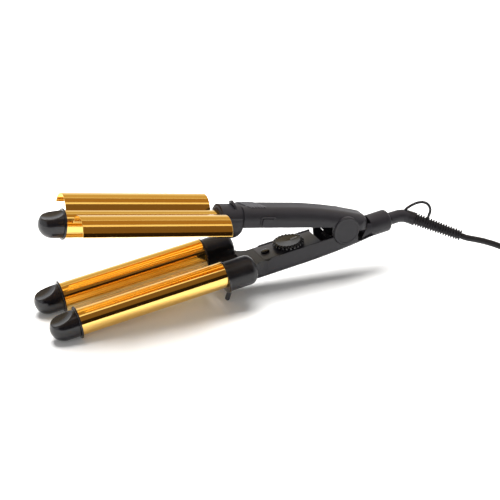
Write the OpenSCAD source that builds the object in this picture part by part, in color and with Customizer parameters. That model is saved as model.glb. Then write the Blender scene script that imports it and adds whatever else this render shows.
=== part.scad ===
// Three-barrel deep hair waver, jaws open, resting on its lower tips and its fold-out stand.
// +X runs along the tool from the cool tips to the cord, +Y away from the side button, +Z up, mm.
// Each jaw is drawn in its own level frame with the hinge axis at its origin, then tilted into place.

/* [Barrels] */
// Outside diameter of each of the three barrels
barrel_d = 25; // [22:0.5:30]
// Gap between neighbouring barrels with the jaws closed
barrel_gap = 3; // [3:0.1:5]
// Wall of a barrel tube
barrel_wall = 1.2; // [0.8:0.1:2]
// Length of a lower barrel from its root collar to its cool tip
barrel_len = 142; // [110:1:170]
// Hinge axis to the root end of the lower barrels
root_reach = 136; // [132:1:150]
// Height of the lower barrel axes above the hinge axis, in the lower jaw
lower_rise = 3.2; // [2.2:0.1:4]
// Height of the centre barrel axis above the hinge axis, in the upper jaw
upper_rise = 2.3; // [2:0.1:3.2]
// How much further the upper cool tip stands out than the lower ones, so that their rims pass
tip_stagger = 3; // [2.8:0.1:4]

/* [Cool tips and collars] */
// How far the rim of a lower cool tip stands out from its barrel
lower_rim = 2.5; // [1:0.1:2.5]
// How far the rim of the upper cool tip stands out from its barrel
upper_rim = 1.7; // [1:0.1:1.9]
// Thickness of a cool tip rim
rim_t = 1.8; // [1:0.1:2.4]
// Straight part of a lower cool tip before its dome
tip_straight = 12.4; // [8:0.2:16]
// Radius of the thumb scoop on a cool tip
scoop_r = 26; // [22:1:36]
// Length of the plug of a tip or collar inside a barrel
plug_len = 10; // [6:1:14]
// How far a root collar of the lower jaw stands out from its barrel
collar_rim = 2.8; // [2:0.1:2.8]
// Thickness of a root collar
collar_t = 2; // [1.5:0.1:2.4]
// How far a root collar and socket sit below the barrel axis
collar_drop = 3.2; // [2:0.1:4]

/* [Wings and trough] */
// Gap between a wing and the lower barrel it closes over
wing_gap = 4; // [3:0.1:5]
// Sheet thickness of the wings
wing_t = 1; // [0.6:0.1:1.4]
// Angle of the outer wing edge above the level of the barrel axes
wing_edge = 13; // [5:1:25]
// How far a wing stops short of the lower cool tips
wing_short = 1.9; // [1:0.1:20]
// Gap between the floor of the trough and the centre barrel that closes into it
trough_gap = 0.9; // [0.6:0.1:1.4]
// Height of the centre of the trough curve above the centre barrel axis
trough_lift = 4.4; // [3.4:0.1:4.6]
// Sheet thickness of the trough
trough_t = 0.8; // [0.6:0.1:1]

/* [Hinge] */
// Opening angle between the jaws, the full travel of the hinge
open_angle = 17.7; // [10:0.1:25]
// Downward tilt of the lower jaw as it rests on its stand
lower_tilt = 8.1; // [5:0.1:12]
// Diameter of the hinge pin
pin_d = 5; // [4:0.5:6]
// Radial clearance of the knuckles that turn on the pin
pin_gap = 0.05; // [0.02:0.01:0.1]
// Radius of the upper arm cheeks at the hinge
cheek_r = 14; // [12:0.5:15]
// Radius of the round pivot caps
cap_r = 13.7; // [11:0.1:14]
// How far a pivot cap stands out from the arm
cap_t = 1.3; // [1:0.1:3]
// Radius of the lower arm knuckles round the pin
knuckle_r = 8; // [6:0.5:10]
// Wire diameter of the opening spring
spring_wire = 1.6; // [1:0.1:2]
// Turns of the opening spring
spring_turns = 5; // [3:1:6]

/* [Handles] */
// Width of both arms
arm_w = 32; // [28:1:38]
// Wall of the handle shells
shell_t = 2; // [1.6:0.1:3]
// Depth of the lower arm below the hinge axis
lower_depth = 24.6; // [20:0.2:28]
// Level of the upper edge of the lower arm, below the hinge axis
lower_edge = 3; // [2:0.2:6]
// Height of the upper arm above the hinge axis at its grip
upper_top = 20.9; // [17:0.1:24]
// Level of the lower edge of the upper arm, above the hinge axis
upper_edge = 3.6; // [3:0.2:6]
// Radius of the round rear housing that holds the cord swivel
housing_r = 11.2; // [9:0.1:13]
// Hinge axis to the rear end of the handle
rear_reach = 54; // [50:1:66]
// Depth of the swivel axis below the hinge axis
swivel_drop = 11.5; // [9:0.5:14]
// How far the hood stands out from the root of the centre barrel
hood_wall = 2.7; // [2.4:0.1:3]
// How far the sockets stand out from the lower barrels
socket_wall = 1.7; // [1:0.1:2.4]
// Length of the sockets
socket_len = 29.5; // [26:0.5:36]

/* [Controls] */
// Diameter of the temperature dial over its teeth
dial_d = 31; // [24:0.5:31]
// Height of the dial above the control panel
dial_h = 4; // [3:0.2:4.4]
// Teeth round the dial
dial_teeth = 24; // [16:2:36]
// Distance of the dial axis in front of the hinge axis
dial_reach = 56; // [50:1:60]
// Distance of the indicator lens in front of the hinge axis
lens_reach = 81; // [79:1:84]
// Length of the side button
button_l = 12.4; // [8:0.2:16]
// Height of the side button
button_h = 7; // [5:0.2:9]
// Travel of the side button
button_travel = 1.2; // [0.5:0.1:2]
// Distance of the side button in front of the hinge axis
button_reach = 86.5; // [80:0.5:92]

/* [Stand] */
// Wire diameter of the stand
stand_wire_d = 3; // [2:0.2:4]
// Spacing of the two stand legs
stand_w = 29; // [24:1:34]
// Distance of the stand pivot behind the roots of the barrels
stand_inset = 10.5; // [8:0.5:18]
// Depth of the stand pivot below the hinge axis
stand_drop = 19; // [18:0.5:22]

/* [Swivel and cord] */
// Radius of the swivel neck
neck_r = 6.4; // [5:0.1:8]
// Length of the neck outside the housing, to the middle of its elbow
neck_len = 17; // [10:1:22]
// Length of the ribbed strain relief
relief_len = 54; // [40:1:60]
// Number of ribs on the strain relief
relief_ribs = 18; // [8:1:24]
// Cord diameter
cord_d = 6.2; // [5:0.1:7]
// Turns of cord in the coil
coil_turns = 7.125; // [5.125:1:8.125]

/* [Hidden] */
$fn = 96;
eps = 0.01;
seat_gap = 0.05;
barrel_r = barrel_d / 2;
half_w = arm_w / 2;
bore_r = barrel_r - barrel_wall;
barrel_pitch = barrel_d + barrel_gap;
lower_rim_r = barrel_r + lower_rim;
upper_rim_r = barrel_r + upper_rim;
tip_r = barrel_r + 0.1;
collar_r = barrel_r + collar_rim;
wing_r = barrel_r + wing_gap + wing_t;
trough_r = barrel_r + trough_gap + trough_t + trough_lift;
trough_z = upper_rise + trough_lift;
hood_r = barrel_r + hood_wall;
socket_r = barrel_r + socket_wall;
// Stations along the lower jaw, measured from the hinge axis
root_x = -root_reach;
tip_x = root_x - barrel_len;
upper_tip_x = tip_x - tip_stagger;
upper_straight = tip_straight - tip_stagger - 1;
socket_x = root_x + collar_t;
socket_z = lower_rise - collar_drop;
spigot_r = 8;
spigot_len = 12;
wire_bore_r = 4;
heater_inset = 16;
scoop_back = 7;
scoop_floor = 6;
trough_lip = 29.5;
foot_t = 0.8;
foot_h = 3.4;
// The hood stands just behind the lower collars, so that it nests between the sockets when closed
hood_front = socket_x + 0.6;
hood_rear = hood_front + 26;
hood_z = upper_rise + 1.2;
sleeve_r = barrel_r + 0.6;
wing_front_x = tip_x + wing_short;
wing_len = root_x + 1.1 - wing_front_x;
web_floor = -16.5;
web_top = -3.8;
neck_floor = -lower_depth + shell_t + seat_gap;
neck_x = -96;
// Waist between the sockets and the arm, and the slanted seam between the yoke and the lower arm
waist_w = half_w - 0.8;
waist_x = -91;
waist_r = 15;
web_w = 26;
seam_x = -81;
seam_slope = 33;
// Large radii of the bent backs of the two arms, and where each bend begins
lower_bend_r = 660;
lower_bend_x = -50;
upper_bend_r = 420;
upper_bend_x = -60;
beak_r = 19.9;
beak_x = 9.5;
beak_z = -2.5;
beak_end = 29;
swivel_z = -swivel_drop;
// Rear of the handle: the cover starts outside the sweep of the upper arm
rear_front = 12;
rear_round = 30.8;
rear_sweep = 29.6;
rear_seam = -16;
rear_bend_x = -5;
rear_bend_r = 150;
knuckle_y = 9.4;
spring_r = 6;
upper_ahead = [-cos(open_angle), 0, sin(open_angle)];
panel_z = -lower_edge - 0.6;
panel_x0 = -88;
panel_x1 = -27;
panel_half = half_w - shell_t - seat_gap;
board_z = -12;
board_floor = -lower_depth + shell_t + 0.3;
board_x0 = panel_x0 + 4;
board_x1 = panel_x1 - 7;
cover_rear = -26;
shaft_r = 3;
dial_z0 = -2.6;
dial_turn = 6;
screw_x = [-66, rear_reach - 19.8];
screw_z = [-lower_depth + 3.4, swivel_z - housing_r + 2.6];
screw_len = [4, 8.4];
button_z = 9.2;
grip_ribs = 6;
grip_step = 3;
grip_slant = 32;
grip_x = hood_rear + 0.5;
stand_x = root_x + stand_inset;
stand_z = -stand_drop;
foot_r = 2.4;
// The lower rims or the end of the trough rest on the ground, which sets the height of the hinge axis
pivot_h = max(
  -(tip_x - rim_t) * sin(lower_tilt) + (lower_rim_r - lower_rise) * cos(lower_tilt),
  -tip_x * sin(lower_tilt) + (trough_r - trough_z) * cos(lower_tilt));
// The stand legs lean from the square of the lower jaw until their feet meet the ground
stand_lean = 26;
stand_pivot_h = pivot_h + stand_x * sin(lower_tilt) + stand_z * cos(lower_tilt);
stand_leg = (stand_pivot_h - foot_r) / cos(stand_lean - lower_tilt);
// The origin is under the middle of the length, from the foremost cool tip to the hanging loop
upper_tilt = open_angle - lower_tilt;
nose_reach = tip_r + max(
  (rim_t + tip_straight - tip_x) * cos(lower_tilt) + lower_rise * sin(lower_tilt),
  (rim_t + upper_straight - upper_tip_x) * cos(upper_tilt) - upper_rise * sin(upper_tilt));
loop_reach = (rear_reach + neck_len) * cos(lower_tilt) + swivel_drop * sin(lower_tilt) + 23.6;
hinge_x = (nose_reach - loop_reach) / 2;
// The elbow at the end of the swivel neck, and the relief that leaves it
elbow_x = rear_reach + neck_len;
elbow = [
  hinge_x + elbow_x * cos(lower_tilt) - swivel_z * sin(lower_tilt), 0,
  pivot_h + elbow_x * sin(lower_tilt) + swivel_z * cos(lower_tilt)
];
relief_heading = 44.5;
relief_drop = 12.5;
relief_start = 8;
relief_end = relief_start + relief_len;
rib_start = relief_start + 6;
rib_step = (relief_end - rib_start) / relief_ribs;
relief_r = 6.6;
loop_r = 1.4;
loop_path = [
  [-4, 0, 0.8], [-9, 0, 3], [-14.2, 0, 7], [-18, 0, 11], [-20.4, 0, 15.5], [-20.8, 0, 19.5],
  [-19.2, 0, 23], [-16, 0, 25.2], [-12.4, 0, 25.8], [-8.4, 0, 25.6], [-4.4, 0, 25.2]
];

// Cord: straight out of the relief, down to the ground, into the coil, and its end up onto the coil
cord_out = [
  cos(relief_drop) * cos(relief_heading), -cos(relief_drop) * sin(relief_heading), -sin(relief_drop)
];
cord_start = elbow + relief_end * cord_out;
coil_centre = [331, -91, 0];
coil_pitch = 6.7;
coil_in = 23.4;
coil_out = coil_in + coil_pitch * coil_turns / 2;
coil_low = 3.9;
coil_rise = 6.4;
coil_first = -135;
function coil_point(t) =
  let (a = coil_first + 360 * t, r = coil_in + coil_pitch * abs(t - coil_turns / 2),
       up = min(1, max(0, 2 * (t - coil_turns / 2) + 0.5)))
  coil_centre + [r * cos(a), r * sin(a), coil_low + coil_rise * up];
function heading(a) = [-sin(a), cos(a), 0];
coil_last = coil_first + 360 * coil_turns;
coil_path = concat(
  [coil_point(0) - cord_d * heading(coil_first)],
  [for (k = [0 : 24 * coil_turns]) coil_point(k / 24)],
  [coil_point(coil_turns) + cord_d * heading(coil_last)]);
cord_path = concat(
  [cord_start, cord_start + cord_d * cord_out],
  [[232, -55, 34.2], [241, -64.2, 32.8], [250, -73.4, 29.9], [258.3, -82.2, 24.9], [266.4, -91.2, 18.2],
   [274, -100.1, 11.6], [282.2, -109.8, 5.9]],
  [coil_path[0] - 2 * heading(coil_first), coil_path[0]]);
tie_angle = -100;
tie_top = coil_low + coil_rise + cord_d / 2 + 1.4;
plug_h = 14;
coil_top = coil_low + coil_rise + cord_d / 2;
plug_at = [362.8, -102.2, coil_top + 0.2 + plug_h / 2];
plug_turn = 90;
pin_r = 2;
pin_root_r = 1.5;
pin_spread = 9.3;
tail_path = concat(
  [coil_path[len(coil_path) - 1], coil_path[len(coil_path) - 1] + 2 * heading(coil_last)],
  [[349.8, -134.9, 11.4], [355.4, -130.9, 13.8], [359.5, -125.4, 16.4], [361.9, -118.6, 18.3]],
  [plug_at - [0, cord_d, 0.1], plug_at]);

// Which piece to draw

// Frames: each jaw is level in its own frame, with the hinge axis along Y through its origin
module lower_jaw() {
  translate([hinge_x, 0, pivot_h]) rotate([0, -lower_tilt, 0]) children();
}

module upper_jaw() {
  translate([hinge_x, 0, pivot_h]) rotate([0, open_angle - lower_tilt, 0]) children();
}

// A round bar along X from x0 to x1
module bar_x(x0, x1, r, y = 0, z = 0) {
  translate([x0, y, z]) rotate([0, 90, 0]) cylinder(h = x1 - x0, r = r);
}

// A round bar along Y from y0 to y1
module bar_y(y0, y1, r, x = 0, z = 0) {
  translate([x, y0, z]) rotate([-90, 0, 0]) cylinder(h = y1 - y0, r = r);
}

// A block given by its two corners
module block(a, b) {
  translate(a) cube(b - a);
}

// A round bar along X with its near end rounded by c0 and its far end by c1
module soft_bar_x(x0, x1, r, c0, c1, y = 0, z = 0) {
  len = x1 - x0;
  translate([x0, y, z]) rotate([0, 90, 0]) rotate_extrude() union() {
    translate([0, c0]) square([r, len - c0 - c1]);
    soft_end(r, c0, 0, c0);
    soft_end(r, c1, len - c1, len - c1);
  }
}

// The rounded end of such a bar: its flat part from h, and its corner about the level hc
module soft_end(r, c, h, hc) {
  translate([0, h]) square([r - c, c]);
  intersection() {
    translate([r - c, hc]) circle(c);
    translate([r - c, h]) square(c);
  }
}

// Cross-section of an arm: half width w, from zb to zt, with lower corners rb and upper corners rt
module section(w, zb, zt, rb, rt) {
  zm = (zb + zt) / 2;
  intersection() {
    union() {
      translate([-w, zb + rb]) square([2 * w, zt - rt - zb - rb]);
      translate([rb - w, zb]) square([2 * (w - rb), zm - zb]);
      translate([rt - w, zm]) square([2 * (w - rt), zt - zm]);
      for (s = [-1, 1]) {
        translate([s * (w - rb), zb + rb]) circle(rb);
        translate([s * (w - rt), zt - rt]) circle(rt);
      }
    }
    translate([-w, zb]) square([2 * w, zt - zb]);
  }
}

// An arm section drawn straight along X from x0 to x1
module beam(x0, x1, w, zb, zt, rb, rt) {
  translate([x0, 0, 0]) rotate([90, 0, 90]) linear_extrude(x1 - x0) section(w, zb, zt, rb, rt);
}

// A wide wheel about an axis along Y, with its rim corners rounded by c: the bent part of an arm
module wheel(x, z, r, w, c) {
  translate([x, 0, z]) rotate([90, 0, 0]) rotate_extrude($fn = r > 100 ? 320 : 96) intersection() {
    union() {
      translate([0, -w]) square([r - c, 2 * w]);
      translate([0, c - w - eps]) square([r - eps, 2 * (w - c + eps)]);
      for (s = [-1, 1])
        translate([r - c, s * (w - c)]) circle(c, $fn = 64);
    }
    translate([0, -w]) square([r, 2 * w]);
  }
}

// Pair of upright round cutters that leave the waist between the sockets and the lower arm
module waist(grow) {
  for (s = [-1, 1])
    translate([waist_x, s * (waist_w + waist_r), -40]) cylinder(h = 60, r = waist_r + grow);
}

// Everything above the slanted seam, where the deck of the yoke lies over the front of the lower arm
module above_seam(gap) {
  translate([seam_x, 0, -lower_edge]) rotate([0, -seam_slope, 0])
    block([-40, -half_w - 10, gap], [0, half_w + 10, 30]);
}

// Shared pieces of the three barrels
module barrel_tube(x0, x1, z, y = 0) {
  color("goldenrod") difference() {
    bar_x(x0, x1, barrel_r, y, z);
    bar_x(x0 - 1, x1 + 1, bore_r, y, z);
  }
}

// A cool tip that points along -X from the barrel end at x = 0, with its plug inside the barrel
module cool_tip(rim, straight) {
  color("dimgray") difference() {
    union() {
      bar_x(-rim_t, 0, rim);
      bar_x(-rim_t - straight, 0, tip_r);
      translate([-rim_t - straight, 0, 0]) sphere(tip_r);
      bar_x(-eps, plug_len, bore_r - seat_gap);
    }
    intersection() {
      translate([-rim_t - straight - scoop_back, 0, scoop_r + scoop_floor]) sphere(scoop_r);
      block([-rim_t - straight - 2 * tip_r, -2 * tip_r, -tip_r], [-rim_t, 2 * tip_r, 2 * tip_r]);
    }
    bar_x(0.5, plug_len + 1, bore_r - 2.5);
  }
}

// A root collar with its plug in the barrel and its spigot in the socket
module root_collar(y) {
  color("dimgray") difference() {
    union() {
      bar_x(root_x, root_x + collar_t, collar_r, y, socket_z);
      bar_x(root_x - plug_len, root_x + eps, bore_r - seat_gap, y, lower_rise);
      bar_x(root_x, root_x + collar_t + spigot_len, spigot_r, y, lower_rise);
    }
    bar_x(root_x - plug_len - 1, root_x + 30, wire_bore_r, y, lower_rise);
  }
}

// A heater block between two half-round shoes that press on the barrel bore
module heater(x0, x1, y, z) {
  color("silver") union() {
    difference() {
      bar_x(x0, x1, bore_r - seat_gap, y, z);
      block([x0 - 1, y - barrel_r, z - 3.4], [x1 + 1, y + barrel_r, z + 3.4]);
    }
    block([x0 + 2, y - 7, z - 3.4 - eps], [x1 - 2, y + 7, z + 3.4 + eps]);
  }
}

module wing(side) {
  y = side * barrel_pitch;
  color("goldenrod") difference() {
    union() {
      intersection() {
        bar_x(wing_front_x, wing_front_x + wing_len, wing_r, y, lower_rise);
        block([wing_front_x, y - 2 * wing_r, lower_rise + wing_r * sin(wing_edge)],
              [wing_front_x + wing_len, y + 2 * wing_r, lower_rise + wing_r + 1]);
      }
      intersection() {
        bar_x(wing_front_x, wing_front_x + wing_len, barrel_r + foot_t, 0, upper_rise);
        translate([0, min(0, side * 30), upper_rise + 5.4])
          block([wing_front_x, 0, 0], [wing_front_x + wing_len, 30, foot_h]);
      }
    }
    bar_x(wing_front_x - 1, wing_front_x + wing_len + 1, wing_r - wing_t, y, lower_rise);
    bar_x(wing_front_x - 1, wing_front_x + wing_len + 1, barrel_r, 0, upper_rise);
  }
}

// Pieces of the lower jaw
module lower_barrel_front() { lower_jaw() barrel_tube(tip_x, root_x, lower_rise, -barrel_pitch); }

module lower_barrel_rear() { lower_jaw() barrel_tube(tip_x, root_x, lower_rise, barrel_pitch); }

module lower_tip_front() {
  lower_jaw() translate([tip_x, -barrel_pitch, lower_rise]) cool_tip(lower_rim_r, tip_straight);
}

module lower_tip_rear() {
  lower_jaw() translate([tip_x, barrel_pitch, lower_rise]) cool_tip(lower_rim_r, tip_straight);
}

module lower_collar_front() { lower_jaw() root_collar(-barrel_pitch); }

module lower_collar_rear() { lower_jaw() root_collar(barrel_pitch); }

module heater_front() {
  lower_jaw() heater(tip_x + heater_inset, root_x - heater_inset, -barrel_pitch, lower_rise);
}

module heater_rear() {
  lower_jaw() heater(tip_x + heater_inset, root_x - heater_inset, barrel_pitch, lower_rise);
}

module trough_plate() {
  color("khaki") lower_jaw() intersection() {
    difference() {
      bar_x(tip_x, root_x, trough_r, 0, trough_z);
      bar_x(tip_x - 1, root_x + 1, trough_r - trough_t, 0, trough_z);
    }
    block([tip_x, -trough_r - 1, trough_z - trough_r - 1],
          [root_x, trough_r + 1, trough_z - trough_r * sin(trough_lip)]);
  }
}

module yoke() {
  color("dimgray") lower_jaw() difference() {
    union() {
      for (s = [-1, 1])
        soft_bar_x(socket_x, socket_x + socket_len, socket_r, 0.4, 8, s * barrel_pitch, socket_z);
      difference() {
        union() {
          beam(socket_x, neck_x, web_w, -11, web_top, 5, 1);
          beam(socket_x, neck_x, half_w, neck_floor, web_top, 9, 1);
        }
        waist(0);
        block([socket_x - 1, -40, -40], [socket_x + 20, 40, web_floor]);
        translate([socket_x + 20 - eps, 0, web_floor]) rotate([0, 23, 0])
          block([0, -40, -20], [40, 40, 0]);
      }
      difference() {
        beam(neck_x - eps, neck_x + 11, panel_half, neck_floor, -lower_edge - 8, 11 - shell_t, 1);
        waist(shell_t + seat_gap);
        above_seam(0);
      }
      intersection() {
        difference() {
          beam(neck_x - eps, seam_x, half_w, -18, web_top, 1, 1);
          waist(0);
          block([panel_x0 - seat_gap, -panel_half - seat_gap, panel_z - 1.8 - seat_gap], [seam_x + 1, panel_half + seat_gap, 0]);
        }
        above_seam(seat_gap);
      }
    }
    bar_x(socket_x - 1, hood_rear + 1.2, hood_r + 0.8, 0, hood_z);
    block([socket_x - 1, -hood_r - 0.8, hood_z], [hood_rear + 1.2, hood_r + 0.8, 20]);
    block([hood_rear - 6, -half_w - 0.6, upper_edge - 0.8], [hood_rear + 20, half_w + 0.6, 20]);
    for (s = [-1, 1])
      bar_x(socket_x - 1, socket_x + spigot_len + 0.5, spigot_r + seat_gap, s * barrel_pitch, lower_rise);
  }
}

// Form of the lower arm, drawn in by t: straight, then bent up towards the rear
module lower_form(t) {
  union() {
    difference() {
      beam(neck_x, lower_bend_x, half_w - t, -lower_depth + t, 0, 11 - t, 1);
      waist(t);
    }
    intersection() {
      wheel(lower_bend_x, lower_bend_r - lower_depth, lower_bend_r - t, half_w - t, 11 - t);
      block([lower_bend_x, -half_w, -30], [rear_round, half_w, 0]);
      for (s = [-1, 1])
        translate([rear_bend_x, s * (rear_bend_r - half_w), -40])
          cylinder(h = 50, r = rear_bend_r - t, $fn = 200);
    }
  }
}

module hinge_pocket(grow) {
  for (s = [-1, 1])
    bar_y(s * half_w - 3.3, s * half_w + 3.3, cheek_r + grow);
}

module lower_handle() {
  color("dimgray") lower_jaw() difference() {
    union() {
      difference() {
        lower_form(0);
        intersection() {
          lower_form(shell_t);
          block([neck_x - 1, -half_w, -30], [rear_round - 6, half_w, 1]);
        }
        above_seam(0);
        block([-26, half_w - 3, -12], [-22, half_w + 1, 1]);
        block([neck_x - 1, -half_w - 1, -lower_edge], [-12, half_w + 1, 1]);
        block([0, -half_w - 1, -8], [rear_front + 1, half_w + 1, 10]);
        block([rear_front, -half_w - 1, rear_seam], [rear_reach + 1, half_w + 1, 10]);
      }
      intersection() {
        soft_bar_x(rear_round - 10, rear_reach, housing_r, 5, 4, 0, swivel_z);
        block([rear_front, -half_w, -30], [rear_reach + 1, half_w, rear_seam]);
      }
      for (s = [-1, 1]) {
        block([-12, s * (knuckle_y + 1.6) - 1.6, -18.6], [8, s * (knuckle_y + 1.6) + 1.6, -2]);
        bar_y(s * (knuckle_y + 1.6) - 1.6, s * (knuckle_y + 1.6) + 1.6, knuckle_r);
      }
      block([-16, -8, -lower_depth + 2.4], [-12, 8, -spring_r - spring_wire / 2 - 0.05]);
      translate([screw_x[0], 0, -lower_depth + 1]) cylinder(h = 8, r = 4.6);
    }
    hinge_pocket(0.5);
    bar_y(-half_w, half_w, pin_d / 2);
    swivel_bore();
    for (i = [0, 1])
      screw_hole(i);
  }
}

module swivel_bore() {
  bar_x(rear_reach - 16, rear_reach + 2, neck_r + 0.08, 0, swivel_z);
  bar_x(rear_reach - 13.2, rear_reach - 9.8, neck_r + 2.3, 0, swivel_z);
}

module screw_hole(i) {
  translate([screw_x[i], 0, screw_z[i] - 1]) cylinder(h = screw_len[i] + 1.5, r = 1.55);
  translate([screw_x[i], 0, screw_z[i] - 8]) cylinder(h = 8, r = 3.1);
}

module rear_cover() {
  color("dimgray") lower_jaw() difference() {
    intersection() {
      union() {
        soft_bar_x(rear_round - 10, rear_reach, housing_r, 0.4, 4, 0, swivel_z);
        intersection() {
          translate([rear_front, 0, swivel_z]) rotate([0, 90, 0])
            cylinder(h = rear_round - rear_front, r1 = 15, r2 = housing_r);
          lower_form(0);
        }
      }
      block([rear_front, -half_w - 1, rear_seam], [rear_reach + 1, half_w + 1, 3]);
    }
    block([rear_front - 1, -9, rear_seam - 1], [rear_round, 9, 4]);
    wheel(0, 0, rear_sweep, half_w + 0.6, half_w + 0.6);
    swivel_bore();
    screw_hole(1);
  }
}

module control_panel() {
  color("slategray") lower_jaw() difference() {
    union() {
      difference() {
        block([panel_x0, -panel_half, panel_z - 1.8], [panel_x1, panel_half, panel_z]);
        waist(shell_t + seat_gap);
      }
      translate([-dial_reach, 0, panel_z - eps]) cylinder(h = 0.6, r = dial_d / 2 - 4);
    }
    translate([-dial_reach, 0, panel_z - 4]) cylinder(h = 8, r = shaft_r + 0.3);
    lens_form(seat_gap, panel_z - 4, panel_z + 1);
  }
}

// An oval with its long axis along the arm
module lens_form(grow, z0, z1) {
  translate([-lens_reach, 0, z0]) union() {
    for (s = [-1, 1])
      translate([s * 1.3, 0, 0]) cylinder(h = z1 - z0, r = 3.1 + grow);
    translate([-1.3, -3.1 - grow, 0]) cube([2.6, 6.2 + 2 * grow, z1 - z0]);
  }
}

module indicator_lens() {
  color("black") lower_jaw() union() {
    lens_form(0, panel_z - 1.8, panel_z + 1.8);
    lens_form(-0.6, panel_z + 1.8 - eps, panel_z + 2.4);
  }
}

module circuit_board() {
  color("darkgreen") lower_jaw() union() {
    block([board_x0, -11, board_z - 1.6], [board_x1, 11, board_z]);
    for (x = [board_x0 + 5, board_x1 - 4])
      translate([x, 0, board_floor])
        cylinder(h = board_z - 1.6 - board_floor + eps, r = 2.5);
    translate([-lens_reach, 0, board_z - eps])
      cylinder(h = panel_z - 1.8 - board_z + eps, r = 2.4);
  }
}

module dial_switch() {
  color("silver") lower_jaw() translate([-dial_reach, 0, 0]) union() {
    translate([0, 0, board_z]) cylinder(h = panel_z - 1.8 - board_z, r = 8);
    translate([0, 0, panel_z - 2]) cylinder(h = dial_z0 + dial_h - 1.3 - panel_z + 2, r = shaft_r);
  }
}

module temperature_dial() {
  color("dimgray") lower_jaw() translate([-dial_reach, 0, dial_z0]) difference() {
    union() {
      rotate_extrude() polygon([
        [0, 0], [dial_d / 2 - 1.1, 0], [dial_d / 2 - 1.1, dial_h - 1], [dial_d / 2 - 2.4, dial_h], [0, dial_h]
      ]);
      for (k = [0 : dial_teeth - 1])
        rotate(k * 360 / dial_teeth) translate([dial_d / 2 - 2, -0.9, 0.3]) cube([2, 1.8, dial_h - 1.6]);
    }
    translate([0, 0, -1]) cylinder(h = dial_h - 0.2, r = shaft_r + 0.05);
    rotate(dial_turn) translate([3, -0.7, dial_h - 0.5]) cube([7.5, 1.4, 2]);
  }
}

module dial_pointer() {
  color("white") lower_jaw() translate([-dial_reach, 0, dial_z0])
    rotate(dial_turn) translate([3, -0.7, dial_h - 0.5]) cube([7.5, 1.4, 0.7]);
}

module hinge_pin() {
  color("silver") lower_jaw() bar_y(-half_w + 1.2, half_w - 1.2, pin_d / 2);
}

// Opening spring: a torsion coil round the pin, one leg down on the lower arm, one up to the upper arm
spring_pitch = spring_wire + 0.6;
spring_sweep = 360 * spring_turns + 180 - open_angle;
spring_steps = round(spring_sweep / 15);
function spring_point(k) =
  let (a = -90 + spring_sweep * k / spring_steps, run = spring_pitch * spring_sweep / 360)
  [spring_r * cos(a), run * (k / spring_steps - 0.5), spring_r * sin(a)];

module opening_spring() {
  path = concat(
    [spring_point(0) - [16, 0, 0], spring_point(0) - [2, 0, 0]],
    [for (k = [0 : spring_steps]) spring_point(k)],
    [spring_point(spring_steps) + 2 * upper_ahead, spring_point(spring_steps) + 16 * upper_ahead]);
  color("silver") lower_jaw() tube(path, spring_wire / 2, 6, [0, 1, 0]);
}

// A tube of n sides swept along the points, each ring square to the run there
function unit(v) = v / norm(v);
function run_at(p, i) =
  let (a = max(i - 1, 0), b = min(i + 1, len(p) - 1)) unit(p[b] - p[a]);
module tube(p, r, n, up) {
  rings = [
    for (i = [0 : len(p) - 1])
      let (t = run_at(p, i), u = unit(cross(up, t)), v = cross(t, u))
      [for (j = [0 : n - 1]) p[i] + r * (cos(j * 360 / n) * u + sin(j * 360 / n) * v)]
  ];
  pts = [for (ring = rings) for (q = ring) q];
  sides = [
    for (i = [0 : len(p) - 2]) for (j = [0 : n - 1])
      let (a = i * n + j, b = i * n + (j + 1) % n)
      each [[a, a + n, b], [b, a + n, b + n]]
  ];
  first = [for (j = [1 : n - 2]) [0, j, j + 1]];
  base = (len(p) - 1) * n;
  last = [for (j = [1 : n - 2]) [base, base + j + 1, base + j]];
  polyhedron(points = pts, faces = concat(first, sides, last), convexity = 10);
}

// Least distance between the middle lines of neighbouring turns, less the tube's own diameter
function near_gap(p, d, skip) = min([
  for (i = [0 : len(p) - 1]) for (j = [i + skip : len(p) - 1]) norm(p[i] - p[j])
]) - d;

// Stand: a wire that pivots under the yoke, with a rubber foot on each leg
module stand_bracket() {
  color("dimgray") lower_jaw() difference() {
    block([stand_x - 4, -stand_w / 2 + 4, stand_z - 3], [stand_x + 4, stand_w / 2 - 4, web_floor]);
    bar_y(-stand_w, stand_w, stand_wire_d / 2 + pin_gap, stand_x, stand_z);
  }
}

module stand_wire() {
  color("silver") lower_jaw() union() {
    bar_y(-stand_w / 2, stand_w / 2, stand_wire_d / 2, stand_x, stand_z);
    for (s = [-1, 1]) translate([stand_x, s * stand_w / 2, stand_z]) {
      sphere(stand_wire_d / 2);
      rotate([0, 180 + stand_lean, 0]) cylinder(h = stand_leg - 2, r = stand_wire_d / 2);
    }
  }
}

module stand_foot(s) {
  color("black") lower_jaw() translate([stand_x, s * stand_w / 2, stand_z])
    rotate([0, 180 + stand_lean, 0]) difference() {
      union() {
        translate([0, 0, stand_leg - 6]) cylinder(h = 6, r = foot_r);
        translate([0, 0, stand_leg]) sphere(foot_r);
      }
      translate([0, 0, stand_leg - 7]) cylinder(h = 5, r = stand_wire_d / 2);
    }
}

module stand_foot_front() { stand_foot(-1); }

module stand_foot_rear() { stand_foot(1); }

// Pieces of the upper jaw
module upper_barrel() { upper_jaw() barrel_tube(upper_tip_x, hood_front + 13, upper_rise); }

module upper_tip() { upper_jaw() translate([upper_tip_x, 0, upper_rise]) cool_tip(upper_rim_r, upper_straight); }

module upper_collar() {
  color("dimgray") upper_jaw() difference() {
    union() {
      bar_x(hood_front, hood_front + 13, sleeve_r - seat_gap, 0, upper_rise);
      bar_x(hood_front + 13, hood_front + 15, sleeve_r - seat_gap, 0, upper_rise);
    }
    bar_x(hood_front - 1, hood_front + 13, barrel_r + seat_gap, 0, upper_rise);
    bar_x(hood_front, hood_front + 20, wire_bore_r + 3, 0, upper_rise);
  }
}

module heater_upper() {
  upper_jaw() heater(upper_tip_x + heater_inset, hood_front - 6, 0, upper_rise);
}

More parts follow.
